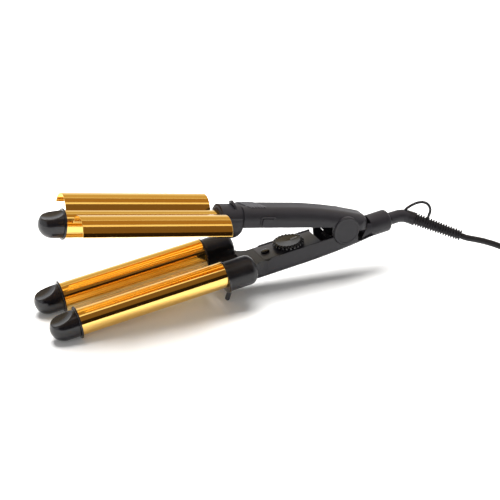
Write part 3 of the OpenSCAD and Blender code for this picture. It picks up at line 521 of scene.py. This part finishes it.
def loft(stations, sides=64):
    """Superellipse sections at rows of (x, half width, half height, power); a row of no width is a pole."""
    x, w, h, power = (np.asarray(stations, float)[:, k, None] for k in range(4))
    y, z = superellipse(np.arange(sides)[None] * 2 * np.pi / sides, w, h, power)
    return np.stack([np.broadcast_to(x, y.shape), y, z], -1)


def rounded_corners(corners, radius, steps=6, closed=False):
    """Each corner is cut back by the radius and bridged by the quadratic curve that has the corner as its
    handle; a support point beside each cut keeps the flats flat when they are shaded smooth. A cut takes
    at most 0.42 of the shorter side, so two of them never meet."""
    p = np.asarray(corners, float)
    before, after = np.roll(p, 1, 0) - p, np.roll(p, -1, 0) - p
    reach = np.minimum(np.linalg.norm(before, axis=1), np.linalg.norm(after, axis=1))
    cut = np.minimum(np.broadcast_to(radius, len(p)), 0.42 * reach)[:, None]
    aside = cut + np.minimum(0.5 * cut + 0.03, 0.5 * (0.5 * reach[:, None] - cut))
    back, ahead = unit(before), unit(after)
    t = np.linspace(0, 1, steps)[None, :, None]
    cut_in, cut_out = (p + back * cut)[:, None], (p + ahead * cut)[:, None]
    bend = (1 - t) ** 2 * cut_in + 2 * t * (1 - t) * p[:, None] + t**2 * cut_out
    rows = np.concatenate([(p + back * aside)[:, None], bend, (p + ahead * aside)[:, None]], 1)
    if closed:
        return rows.reshape(-1, p.shape[1])
    return np.vstack([p[0], rows[1:-1].reshape(-1, p.shape[1]), p[-1]])


print("a rounded corner has", len(rounded_corners([[0, 0], [9, 0], [9, 9]], 2)) - 2, "points")

# %% The tie
tie_inner_r, tie_outer_r, tie_low, tie_high, tie_bend = 19.45, 51.22, 0.45, 14.35, 2.6
tie_half_width, tie_half_t, tie_angle = 3.0, 0.42, -100

# the band's middle line is a rounded rectangle round the turns, and its flat section is carried along it
tie_box = [[tie_inner_r, tie_low], [tie_outer_r, tie_low], [tie_outer_r, tie_high], [tie_inner_r, tie_high]]
tie_path = rounded_corners(tie_box, tie_bend, 8, closed=True)
tie_run = unit(np.roll(tie_path, -1, 0) - np.roll(tie_path, 1, 0))
tie_out = np.stack([tie_run[:, 1], -tie_run[:, 0]], -1)
tie_side, tie_thick = superellipse(np.arange(24) * 2 * np.pi / 24, tie_half_width, tie_half_t, 5)
tie_flat = tie_path[:, None] + tie_thick[None, :, None] * tie_out[:, None]
tie_grid = np.stack([tie_flat[..., 0], np.broadcast_to(tie_side, tie_flat.shape[:2]), tie_flat[..., 1]], -1)
tie = piece("coil_tie", (tie_grid @ about_z(tie_angle).T + coil_centre) * mm, "cord_swivel", tie_nylon,
            loop_rows=True, covers=("cord_tie",))


# %% The plug
def plug_place(points):
    """Plug drawn along +x from the cord's end, turned to run along +Y."""
    p = np.asarray(points, float)
    return (np.stack([-p[..., 1], p[..., 0], p[..., 2]], -1) + plug_at) * mm


plug_rows = [[0, 0, 0, 2], [0, 4.6, 4.6, 2], [0.4, 5.2, 5.2, 2], [7.6, 5.2, 5.2, 2], [8.2, 6.4, 6.4, 2],
             [13, 6.6, 6.6, 2.1], [15, 7.4, 6.7, 2.3], [17.5, 11, 6.9, 2.8], [20, 14.6, 7, 3.4],
             [23, 16.8, 7, 4], [26, 17.4, 7, 4.4], [34.6, 17.4, 7, 4.6], [35.6, 17.0, 6.6, 4.6],
             [36, 16.0, 5.8, 4.6], [36, 0, 0, 4.6]]
plug = piece("flat_plug", plug_place(loft(plug_rows)), "cord_swivel", relief_rubber,
             covers=("plug_body",), sharp=40)

# %% The sleeves on the pins, and the cord's facts
pin_offset, sleeve_r = 9.3, 2.06
sleeve_rows = [[35.5, 0, 0, 2], [35.5, sleeve_r, sleeve_r, 2], [45.8, sleeve_r, sleeve_r, 2],
               [46, 1.9, 1.9, 2], [46, 0, 0, 2]]
both_pins = [plug_place(loft(sleeve_rows, 32) + [0, side * pin_offset, 0]) for side in (-1, 1)]
sleeves = piece("pin_sleeves", both_pins, "cord_swivel", relief_rubber)

# %% [markdown]
# ## Table, background and light
#
# The photograph is a studio shot on white. The table is a plain pale sheet that goes over into a white
# room, and it keeps the soft shadow under the tool. More light could turn it white, but would bleach the
# tool as well, so table and room are white only for rays from the camera, from a reflection or through
# glass. Near the tool the table shows the lamps' light and shadow, and it whitens with the distance.


# %% Table and room
def seen_rays(tree):
    """One for a ray from the camera, from a reflection or through glass, and zero for all others."""
    rays = add(tree, "ShaderNodeLightPath").outputs
    seen = rays["Is Camera Ray"]
    for kind in ("Is Glossy Ray", "Is Transmission Ray"):
        seen = add(tree, "ShaderNodeMath", {0: seen, 1: rays[kind]}, operation="MAXIMUM").outputs[0]
    return seen


def stage_sheet(name, grid, finish):
    """A sheet of the studio from a grid of points in metres, which isn't part of the tool."""
    mesh = bpy.data.meshes.new(name)
    mesh.from_pydata(grid.reshape(-1, 3).tolist(), [], grid_faces(*grid.shape[:2], False, False).tolist())
    mesh.materials.append(finish)
    obj = bpy.data.objects.new(name, mesh)
    bpy.context.scene.collection.objects.link(obj)
    obj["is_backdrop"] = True
    return obj


table_half, near_m, far_m, near_glow, far_glow = 4.0, 0.45, 1.5, 0.06, 0.9
room_fill, room_seen = 0.2, 1.0

# white matt paint; far from the tool the lamps fade, and paper lit by its own lamp takes over
table_finish = bpy.data.materials.new("white_painted_table")
tree = empty_tree(table_finish)
paint = add(tree, "ShaderNodeBsdfDiffuse", {"Color": colour("#f4f3f1")})
place = add(tree, "ShaderNodeTexCoord").outputs["Object"]
far_off = add(tree, "ShaderNodeVectorMath", {0: place}, operation="LENGTH").outputs["Value"]
glow = add(tree, "ShaderNodeMapRange", {"Value": far_off, "From Min": near_m, "From Max": far_m,
                                        "To Min": near_glow, "To Max": far_glow}).outputs["Result"]
own_light = add(tree, "ShaderNodeEmission", {"Color": white, "Strength": glow})
lifted = add(tree, "ShaderNodeAddShader", {0: paint.outputs[0], 1: own_light.outputs[0]})
both = add(tree, "ShaderNodeMixShader", {0: seen_rays(tree), 1: paint.outputs[0], 2: lifted.outputs[0]})
add(tree, "ShaderNodeOutputMaterial", {"Surface": both.outputs[0]})
x = np.linspace(-table_half, table_half, 9)
stage_sheet("table", np.stack(np.broadcast_arrays(x[:, None], x[None], 0.0), -1), table_finish)

# the room fills the shadows with a fifth of the strength that it shows
room = bpy.data.worlds.new("white_room")
bpy.context.scene.world = room
tree = empty_tree(room)
strength = add(tree, "ShaderNodeMapRange", {"Value": seen_rays(tree), "To Min": room_fill,
                                            "To Max": room_seen})
light = add(tree, "ShaderNodeBackground", {"Color": white, "Strength": strength.outputs["Result"]})
add(tree, "ShaderNodeOutputWorld", {"Surface": light.outputs[0]})
print("the table is", 2 * table_half, "m square")

# %% [markdown]
# ## Lamps and cards
#
# Matt surfaces are lit by one large soft lamp above and a little behind, a weaker one in front, and the
# room itself. Polished gold shows what stands round it, and a bright lamp mirrored in it would burn out
# to yellow. So the lamps aren't seen in reflections, and the gold is given what a photographer gives it:
# cards. From the front over the top to the back they are dark brown, brown, a narrow white strip, amber
# and cream. They are seen by reflections only, so they shape the gold and leave the other light alone.


# %% Lamps
def soft_lamp(name, place, aim, size, watts):
    """A rectangular area lamp at a place, facing the aim."""
    data = bpy.data.lights.new(name, "AREA")
    data.shape, data.size, data.size_y, data.energy = "RECTANGLE", size[0], size[1], watts
    lamp = bpy.data.objects.new(name, data)
    run = np.array(aim, float) - np.array(place, float)
    lamp.location = place
    lamp.rotation_euler = (math.acos(-run[2] / np.linalg.norm(run)), 0, math.atan2(-run[0], run[1]))
    lamp.visible_glossy = False
    bpy.context.scene.collection.objects.link(lamp)
    print(name, watts, "W")


soft_lamp("softbox_above", (0.1, 0.5, 1.55), (0, 0.02, 0), (1.3, 1.25), 63)
soft_lamp("softbox_front", (-1.0, -1.7, 1.2), (0, 0, 0.05), (1.2, 1.2), 8)

# %% Cards
card_distance, card_reach = 2.2, 3.0


def reflected_card(name, low, high, tint, strength):
    """A long card bent round the tool's length between two elevations, in degrees up from the front:
    (x, -R cos e, R sin e), seen only in reflections."""
    finish = bpy.data.materials.new(name + "_paint")
    tree = empty_tree(finish)
    lit = add(tree, "ShaderNodeEmission", {"Color": colour(tint), "Strength": strength})
    add(tree, "ShaderNodeOutputMaterial", {"Surface": lit.outputs[0]})
    e = np.radians(np.linspace(low, high, 12))[:, None]
    x = np.linspace(-card_reach, card_reach, 5)[None]
    y, z = -card_distance * np.cos(e), card_distance * np.sin(e)
    card = stage_sheet(name, np.stack(np.broadcast_arrays(x, y, z), -1), finish)
    card.visible_camera = card.visible_diffuse = card.visible_shadow = False
    card.visible_transmission = card.visible_volume_scatter = False
    print(name, "from", low, "to", high, "degrees")


reflected_card("black_card_front", -6, 29, "#33271c", 0.7)
reflected_card("brown_card_front", 29, 68, "#8a6f4c", 0.85)
reflected_card("white_strip_front", 69, 76, "#fff4e0", 1.3)
reflected_card("amber_card_above", 80, 112, "#c49c5e", 0.8)
reflected_card("cream_card_behind", 116, 148, "#dcc698", 0.95)

# %% [markdown]
# ## The three barrels
#
# A barrel is a tube of 25 mm with a wall of 1.2 mm, and its edges are broken as on any turned tube. A
# cylinder with a Solidify and a Bevel modifier would come close. Here the wall's outline, four rounded
# corners in the plane of the axis, is turned round the axis in 192 steps, fine enough for a mirror finish
# to show straight reflections.

# %% Turned pieces and barrels
mirror_sides, ring_sides, broken_edge, lip_edge = 192, 160, 0.3, 0.7


def turned(profile, sides=96):
    """A profile of (x, r) rows turned round the x axis: (x, r cos a, r sin a)."""
    p = np.asarray(profile, float)
    a = np.arange(sides) * 2 * np.pi / sides
    return np.stack(np.broadcast_arrays(p[:, :1], p[:, 1:] * np.cos(a), p[:, 1:] * np.sin(a)), -1)


def barrel_grid(x0, x1, y, z):
    """The tube's wall from x0 to x1, its axis at y and z, with broken edges."""
    r0, r1 = barrel_r - barrel_wall, barrel_r
    wall = rounded_corners([[x0, r1], [x1, r1], [x1, r0], [x0, r0]], broken_edge, 5, closed=True)
    return turned(wall, mirror_sides) + [0, y, z]


for side, label in front_and_rear:
    tube_wall = barrel_grid(tip_x, root_x, side * barrel_pitch, lower_rise)
    piece("gold_barrel_" + label, lower_jaw(tube_wall), "lower_jaw", gold_lower_barrel,
          loop_rows=True, covers=("lower_barrel_" + label,))
piece("gold_barrel_centre", upper_jaw(barrel_grid(upper_tip_x, upper_root_x, 0, upper_rise)), "upper_jaw",
      gold_upper_barrel, loop_rows=True, covers=("upper_barrel",))

# %% [markdown]
# ## Cool tips
#
# A cool tip is held between two fingers to guide the hot barrel, so it is a smooth round nose with a
# thumb scoop, and a thin ring stands out behind it. A Boolean modifier could cut the scoop, but with a
# sharp rim. Here the nose is worked out in stations along its axis: at each one, a ray in every direction
# stops at the round body or at the big sphere that hollows the scoop, whichever comes first, and a smooth
# least of the two distances rounds the rim as the mould does.

# %% Cool tips
rim_t, scoop_r, scoop_floor, scoop_back, tip_r = 1.8, 26.0, 6.0, 7.0, 12.6
tip_overlap, scoop_softness, no_scoop = 0.6, 0.45, 90
lower_straight, upper_straight, lower_rim_r, upper_rim_r = 12.4, 8.4, 15.0, 14.2


def tip_head(straight, sides=200):
    """Radius = smooth least of the body radius and the ray's distance to the scoop: half of the sum less
    the root of the difference squared plus a small constant squared. The head runs into its ring."""
    turn = np.linspace(0, np.pi / 2, 64)[1:]
    along = np.linspace(-straight, tip_overlap, 26)[1:]
    x = np.concatenate([-straight - tip_r * np.cos(turn), along])
    body = np.concatenate([tip_r * np.sin(turn), np.full(len(along), tip_r)])[:, None]
    a = np.arange(sides) * 2 * np.pi / sides
    height = scoop_r + scoop_floor
    across = scoop_r**2 - (x + straight + scoop_back) ** 2
    inside = across[:, None] - (height * np.sin(a)) ** 2
    reach = height * np.cos(a) - np.sqrt(np.maximum(inside, 0))
    reach = np.where((np.cos(a) > 0) & (inside > 0), reach, no_scoop)
    r = np.minimum(0.5 * (body + reach - np.sqrt((body - reach) ** 2 + scoop_softness**2)), body)
    rings = np.stack([np.broadcast_to(x[:, None] - rim_t, r.shape), r * np.sin(a), r * np.cos(a)], -1)
    nose = np.broadcast_to([-straight - tip_r - rim_t, 0, 0], (1, sides, 3))
    end = np.broadcast_to([tip_overlap - rim_t, 0, 0], (1, sides, 3))
    return np.concatenate([nose, rings, end])


def tip_rim(rim_r):
    """The ring behind the nose: a flat rounded outline turned round the axis."""
    rows = rounded_corners([[-rim_t, 0], [-rim_t, rim_r], [0, rim_r], [0, 0]], lip_edge, 8)
    return turned(rows, ring_sides)


for side, label in front_and_rear:
    place = np.array([tip_x, side * barrel_pitch, lower_rise])
    head, rim = tip_head(lower_straight) + place, tip_rim(lower_rim_r) + place
    piece("cool_tip_" + label, [lower_jaw(head), lower_jaw(rim)], "lower_jaw", tip_nylon,
          sharp=60, covers=("lower_tip_" + label,))
place = np.array([upper_tip_x, 0, upper_rise])
head, rim = tip_head(upper_straight) + place, tip_rim(upper_rim_r) + place
piece("cool_tip_upper", [upper_jaw(head), upper_jaw(rim)], "upper_jaw", tip_nylon,
      sharp=60, covers=("upper_tip",))

# %% [markdown]
# ## Wings and trough
#
# The wings and the trough are pressed from thin sheet. A plane with a Solidify modifier gives a sheet
# too, but its edges stay square. Here a sheet is its middle line with half the thickness on both sides,
# which runs out along a quarter circle at every cut edge, so each edge is round and catches a thin line
# of light. Each wing also has a narrow foot along the centre barrel, where the real one is welded to it.


# %% Pressed sheets
def edge_steps(thickness):
    """Six distances from an edge, closer together towards it: h (1 - cos a), h being half the thickness."""
    return thickness / 2 * (1 - np.cos(np.linspace(0, np.pi / 2, 6)))


def sheet_grid(line, thickness, x0, x1):
    """Points = middle line plus and minus half thickness times an edge factor, which is the root of
    1 - (1 - d / h) squared at a distance d within h = half the thickness of an edge."""
    h, edge = thickness / 2, edge_steps(thickness)
    run = unit(np.gradient(line, axis=0))
    out = np.stack([run[:, 1], -run[:, 0]], -1)
    far = np.concatenate([[0], np.cumsum(np.linalg.norm(np.diff(line, axis=0), axis=1))])
    x = np.concatenate([x0 + edge, [x0 + 1.2], np.linspace(x0 + 3, x1 - 3, 9), [x1 - 1.2], x1 - edge[::-1]])

    def factor(d):
        """The share of the full thickness at a distance d from an edge."""
        return np.sqrt(np.clip(1 - np.clip(1 - d / h, 0, 1) ** 2, 0, 1))

    thin = factor(np.minimum(x - x0, x1 - x))[:, None] * factor(np.minimum(far, far[-1] - far))[None]
    half = h * thin[..., None] * out[None]
    loop = np.concatenate([line[None] + half, (line[None] - half)[:, ::-1]], 1)
    return np.concatenate([np.broadcast_to(x[:, None, None], loop.shape[:2] + (1,)), loop], -1)


def arc_line(centre, r, start, end, n, thickness):
    """Angles evenly spaced, with a few more just inside both ends for the rounded edge."""
    edge = np.degrees(edge_steps(thickness) / r)
    middle = np.linspace(start + edge[-1], end - edge[-1], n)[1:-1]
    a = np.radians(np.concatenate([start + edge, middle, end - edge[::-1]]))
    return np.stack([centre[0] + r * np.cos(a), centre[1] + r * np.sin(a)], -1)


# %% Wings
wing_x0, wing_x1, wing_t, foot_t = tip_x + 1.9, root_x + 1.1, 1.0, 0.8
wing_r, wing_start, wing_end = 17.0, 13.0, 164.0
foot_gap, foot_start, foot_end = 0.42, 24.9, 42.6

wing_line = arc_line((barrel_pitch, lower_rise), wing_r, wing_start, wing_end, 96, wing_t)
foot_line = arc_line((0, upper_rise), barrel_r + foot_gap, foot_start, foot_end, 12, foot_t)
shell = sheet_grid(wing_line, wing_t, wing_x0, wing_x1)
foot = sheet_grid(foot_line, foot_t, wing_x0, wing_x1)
for side, label in front_and_rear:
    mirrored = [upper_jaw(grid * [1, side, 1]) for grid in (shell, foot)]
    piece("gold_wing_" + label, mirrored, "upper_jaw", gold_wing,
          sharp=50, covers=("wing_" + label,))

# %% Trough
trough_z, trough_r, trough_start, trough_end, trough_t = 6.7, 18.2, 209.2, 330.8, 0.8

trough_line = arc_line((0, trough_z), trough_r, trough_start, trough_end, 96, trough_t)
trough = sheet_grid(trough_line, trough_t, tip_x + 0.05, root_x - 0.05)
piece("gold_trough", lower_jaw(trough), "lower_jaw", gold_trough,
      sharp=50, covers=("trough_plate",))

# %% [markdown]
# ## Root collars and pivot caps
#
# These are turned shapes: thin nylon rings where a barrel enters its socket, and the flat round caps that
# close the hinge, each with a shallow face inside a thin lip. Blender's Screw modifier could turn them.
# Here the function for the barrels does it again, on outlines rounded as the mould leaves them.

# %% Collars
collar_r, collar_t, socket_r, bore_r = 15.3, 2.0, 11.2, 8.0
spigot_x0, spigot_step_x, spigot_x1 = root_x - 9.9, root_x + 0.5, root_x + 13.9

for side, label in front_and_rear:
    ring_rows = [[root_x, 0], [root_x, collar_r], [root_x + collar_t, collar_r], [root_x + collar_t, 0]]
    spigot_rows = [[spigot_x0, 0], [spigot_x0, socket_r], [spigot_step_x, socket_r],
                   [spigot_step_x, bore_r], [spigot_x1, bore_r], [spigot_x1, 0]]
    ring = turned(rounded_corners(ring_rows, lip_edge, 8), ring_sides) + [0, side * barrel_pitch, 0]
    spigot = turned(rounded_corners(spigot_rows, broken_edge, 4)) + [0, side * barrel_pitch, lower_rise]
    piece("root_collar_" + label, [lower_jaw(ring), lower_jaw(spigot)], "lower_jaw", tip_nylon,
          sharp=60, covers=("lower_collar_" + label,))

# %% Pivot caps
# rows of (distance from the middle plane, radius), from the pin outwards, and the radius of each corner
cap_rows = [[14.9, 0], [14.9, 2.5], [15.98, 2.5], [15.98, 13.65], [17.3, 13.65], [17.3, 12.1],
            [17.05, 11.7], [17.05, 0]]
cap_corners = [0, 0.1, 0.1, 0.1, 0.8, 0.25, 0.25, 0]
cap = turned(rounded_corners(cap_rows, cap_corners, 6), ring_sides)
for side, label in front_and_rear:
    disc = np.stack([cap[..., 1], side * cap[..., 0], cap[..., 2]], -1)
    piece("hinge_cap_" + label, upper_jaw(disc), "upper_jaw", charcoal_abs,
          sharp=60, covers=("pivot_cap_" + label,))

# %% [markdown]
# ## Dial, pointer and lens
#
# The temperature dial is a black disc with 24 prongs round its edge, so that a thumb can turn it. An
# Array modifier could repeat one prong. Here the dial's outline is turned round its axis while the radius
# of the rim rises and falls as a softened square wave, which also rounds the roots of the prongs. The
# pointer is a small white key, and the lens is an oval window that domes over the panel.

# %% Dial
panel_z, dial_z0, dial_reach, lens_reach = -3.6, -2.6, 56.0, 81.0
prongs, prong_depth, steps_a_prong, prong_sharpness, prong_lean = 24, 2.8, 20, 3.2, 0.4

# rows of (radius, height, how far the prongs cut in there), from the middle below to the middle above
rim_rows = np.array([[0, 0.02, 0], [12.2, 0.02, 0], [13.2, 0.05, 1], [15.1, 0.1, 1], [15.45, 0.4, 1],
                     [15.5, 1.0, 1], [15.5, 2.0, 1], [15.42, 2.7, 1], [15.1, 3.2, 1], [14.5, 3.62, 1],
                     [13.8, 3.86, 1], [13.2, 3.95, 0.8], [12.7, 4.0, 0.3], [12.2, 4.0, 0], [11.6, 3.98, 0],
                     [11.3, 3.85, 0], [11.1, 3.62, 0], [10.8, 3.55, 0], [3.4, 3.55, 0], [3.1, 3.5, 0],
                     [2.2, 3.3, 0], [0, 3.3, 0]])
a = np.arange(prongs * steps_a_prong) * 2 * np.pi / (prongs * steps_a_prong)
square_wave = 0.5 + 0.5 * np.tanh(prong_sharpness * np.cos(prongs * a) + prong_lean)
rim_r = rim_rows[:, 0, None] - prong_depth * rim_rows[:, 2, None] * (1 - square_wave)[None]
dial_grid = np.stack(np.broadcast_arrays(rim_r * np.cos(a) - dial_reach, rim_r * np.sin(a),
                                         rim_rows[:, 1, None] + dial_z0), -1)
piece("dial_knob", lower_jaw(dial_grid), "dial", dial_abs,
      sharp=45, covers=("temperature_dial",))

# %% Pointer
pointer_angle, pointer_start, pointer_z = 6, 3.0, 3.75
pointer_length, pointer_width, pointer_height, key_power = 7.5, 1.4, 0.9, 5.0

# superellipse sections along the key grow to full size within its rounded ends
key_along = np.array([0, 0.004, 0.03, 0.08, 0.92, 0.97, 0.996, 1])
key_grow = np.array([0, 0.6, 0.9, 1, 1, 0.9, 0.6, 0])
key_rows = np.stack([key_along * pointer_length, key_grow * pointer_width / 2,
                     key_grow * pointer_height / 2, np.full(len(key_along), key_power)], -1)
bar = (loft(key_rows, 24) + [pointer_start, 0, pointer_z]) @ about_z(pointer_angle).T
piece("dial_mark", lower_jaw(bar + [-dial_reach, 0, dial_z0]), "dial", pointer_paint,
      covers=("dial_pointer",))

# %% Lens
lens_r, lens_stretch, lens_sides = 3.05, 1.3, 64

# rows of (share of the oval, height over the panel)
dome = np.array([[0, -1.7], [1, -1.7], [1, 0], [1, 1.5], [0.985, 1.75], [0.93, 2.02], [0.82, 2.22],
                 [0.6, 2.36], [0.3, 2.4], [0, 2.4]])
a = np.arange(lens_sides) * 2 * np.pi / lens_sides
oval = np.stack([lens_r * np.cos(a) + lens_stretch * np.sign(np.cos(a)), lens_r * np.sin(a)], -1)
lens_grid = np.concatenate([dome[:, :1, None] * oval[None] - [lens_reach, 0],
                            np.broadcast_to(dome[:, 1:, None] + panel_z, (len(dome), lens_sides, 1))], -1)
piece("status_lens", lower_jaw(lens_grid), "lower_jaw", lens_acrylic,
      sharp=45, covers=("indicator_lens",))

# %% [markdown]
# ## Swivel neck, hanging loop and ribbed relief
#
# The cord leaves through a swivel so that it can't be twisted. Its neck bends once, carries a strap to
# hang the tool by, and goes over into a ribbed rubber sleeve that bends the cord gently. A bevelled curve
# could give the first two, but not the sleeve. So the neck is a round section carried along a bent line,
# the strap another along a loop, and the relief a turned outline that falls and rises eighteen times.

# %% Neck
neck_z, neck_r, neck_r_growth, neck_r_end, bend_steps, flange_r = -11.5, 6.4, 0.15, 6.56, 26, 8.4
neck_x0, neck_bend_x, bend_out, neck_out, flange_x0, flange_x1 = 39, 63.5, 7.6, 9.5, 41, 44

t = np.linspace(0, 1, bend_steps)
axis_start, axis_bend = lower_jaw([neck_x0, 0, neck_z]) / mm, lower_jaw([neck_bend_x, 0, neck_z]) / mm
bend_end, neck_end = relief_frame([0, 0, bend_out]), relief_frame([0, 0, neck_out])
straight_part = axis_start + (axis_bend - axis_start) * np.linspace(0, 1, 8)[:-1, None]
u = t[:, None]
bend_part = (1 - u) ** 2 * axis_bend + 2 * u * (1 - u) * elbow + u**2 * bend_end
neck_line = np.vstack([straight_part, bend_part, neck_end])
straight_r, bend_r = np.full(len(straight_part), neck_r), neck_r + neck_r_growth * t**1.5
neck_radii = np.concatenate([straight_r, bend_r, [neck_r_end]])
flange_rows = [[flange_x0, 0], [flange_x0, flange_r], [flange_x1, flange_r], [flange_x1, 0]]
flange = turned(rounded_corners(flange_rows, 0.4, 4), 64) + [0, 0, neck_z]
piece("cord_neck", [tube(neck_line, neck_radii, 64) * mm, lower_jaw(flange)], "cord_swivel", charcoal_abs,
      sharp=50, covers=("swivel_neck",))

# %% Hanging loop
strap_r = 1.4
loop_points = [[-4, 0, 0.8], [-9, 0, 3], [-14.2, 0, 7], [-18, 0, 11], [-20.4, 0, 15.5], [-20.8, 0, 19.5],
               [-19.2, 0, 23], [-16, 0, 25.2], [-12.4, 0, 25.8], [-8.4, 0, 25.6], [-4.4, 0, 25.2]]
loop_line = relief_frame(smooth_route(loop_points, 8))
loop_side = relief_frame([0, 1, 0]) - elbow
piece("hanging_strap", tube(loop_line, strap_r, 24, loop_side) * mm, "cord_swivel", relief_rubber,
      covers=("hang_loop",))

# %% Ribbed relief
ribs, rib_start, steps_a_rib, groove_depth = 18, 14.0, 16, 1.6
relief_r, relief_taper, rib_sharpness, rib_lean = 6.6, 1.1, 3.5, 0.1

rib_length = (relief_end - rib_start) / ribs
plain_part = [relief_start, 8.3, 10.0, 12.0, 13.6]
z = np.concatenate([plain_part, np.linspace(rib_start, relief_end, ribs * steps_a_rib + 1)])
taper = relief_r - relief_taper * np.clip((z - rib_start) / (relief_end - rib_start), 0, 1)
wave = np.sin(2 * np.pi * ((z - rib_start) / rib_length))
groove = np.where(z > rib_start, 0.5 + 0.5 * np.tanh(rib_sharpness * (wave - rib_lean)), 0)
r = taper - groove_depth * groove
outline = np.stack([np.concatenate([[relief_start], z, [relief_end]]), np.concatenate([[0], r, [0]])], -1)
sleeve = turned(outline, 64)
sleeve = relief_frame(np.stack([sleeve[..., 1], sleeve[..., 2], sleeve[..., 0]], -1))
piece("ribbed_relief", sleeve * mm, "cord_swivel", relief_rubber,
      sharp=60, covers=("strain_relief",))

# %% [markdown]
# ## Opening spring
#
# A torsion spring round the hinge pin pushes the jaws apart. Its wire starts on the floor of the lower
# arm, winds round the pin and ends under the roof of the upper arm. It could ride on one arm, but then
# its other leg would cut through the other arm as the jaws close. In the real spring each turn gives a
# little; here the piece is drawn as it rests, with one leg along each arm, and is attached to neither jaw.

# %% Spring
wire_r, spring_r, spring_pitch, full_turns, spring_steps, leg_length = 0.8, 6, 2.2, 5, 400, 16

sweep = 360 * full_turns + 180 - jaw_opening
s = np.linspace(0, 1, spring_steps)
a = np.radians(-90 + sweep * s)
helix = np.stack([spring_r * np.cos(a), spring_pitch * sweep / 360 * (s - 0.5), spring_r * np.sin(a)], -1)
ahead = np.array([-math.cos(math.radians(jaw_opening)), 0, math.sin(math.radians(jaw_opening))])
leg = np.linspace(leg_length, 1, 12)[:, None]
wire = np.vstack([helix[0] - leg * [1, 0, 0], helix, helix[-1] + leg[::-1] * ahead])
spring = piece("torsion_spring", lower_jaw(tube(wire, wire_r, 12, (0, 1, 0))), None, spring_steel,
               covers=("opening_spring",))
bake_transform(spring)

# %% [markdown]
# ## Finishes for the solids that stay
#
# The shells, the yoke, the panel and the small hardware have their right shape already. They could be
# drawn again, but would only come out the same, so each keeps its solid and gets the real part's finish.

# %% Finishes on the frame's own solids
kept = {
    charcoal_abs: ["lower_handle", "rear_cover", "upper_handle", "side_button"],
    black_nylon: ["yoke", "upper_collar", "stand_bracket", "upper_cover"],
    panel_abs: ["control_panel"],
    grip_rubber: ["thumb_grip", "stand_foot_front", "stand_foot_rear"],
    board_fr4: ["circuit_board"],
    pcb_switch: ["dial_switch", "side_switch"],
    heater_aluminium: ["heater_front", "heater_rear", "heater_upper"],
    spring_steel: ["hinge_pin", "stand_wire"],
    screw_steel: ["case_screw_front", "case_screw_rear"],
    pin_nickel: ["plug_pin_front", "plug_pin_rear"],
}
for finish, names in kept.items():
    for name in names:
        nodes[name].data.materials.clear()
        nodes[name].data.materials.append(finish)
print("kept solids:", sum(len(v) for v in kept.values()))

# %% Sizes and finish
low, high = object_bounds()
visual_size = [round(h - l, 4) for l, h in zip(low, high)]
cad_size = [round(h - l, 4) for l, h in zip(cad_low, cad_high)]
print("size", visual_size, "of", cad_size)
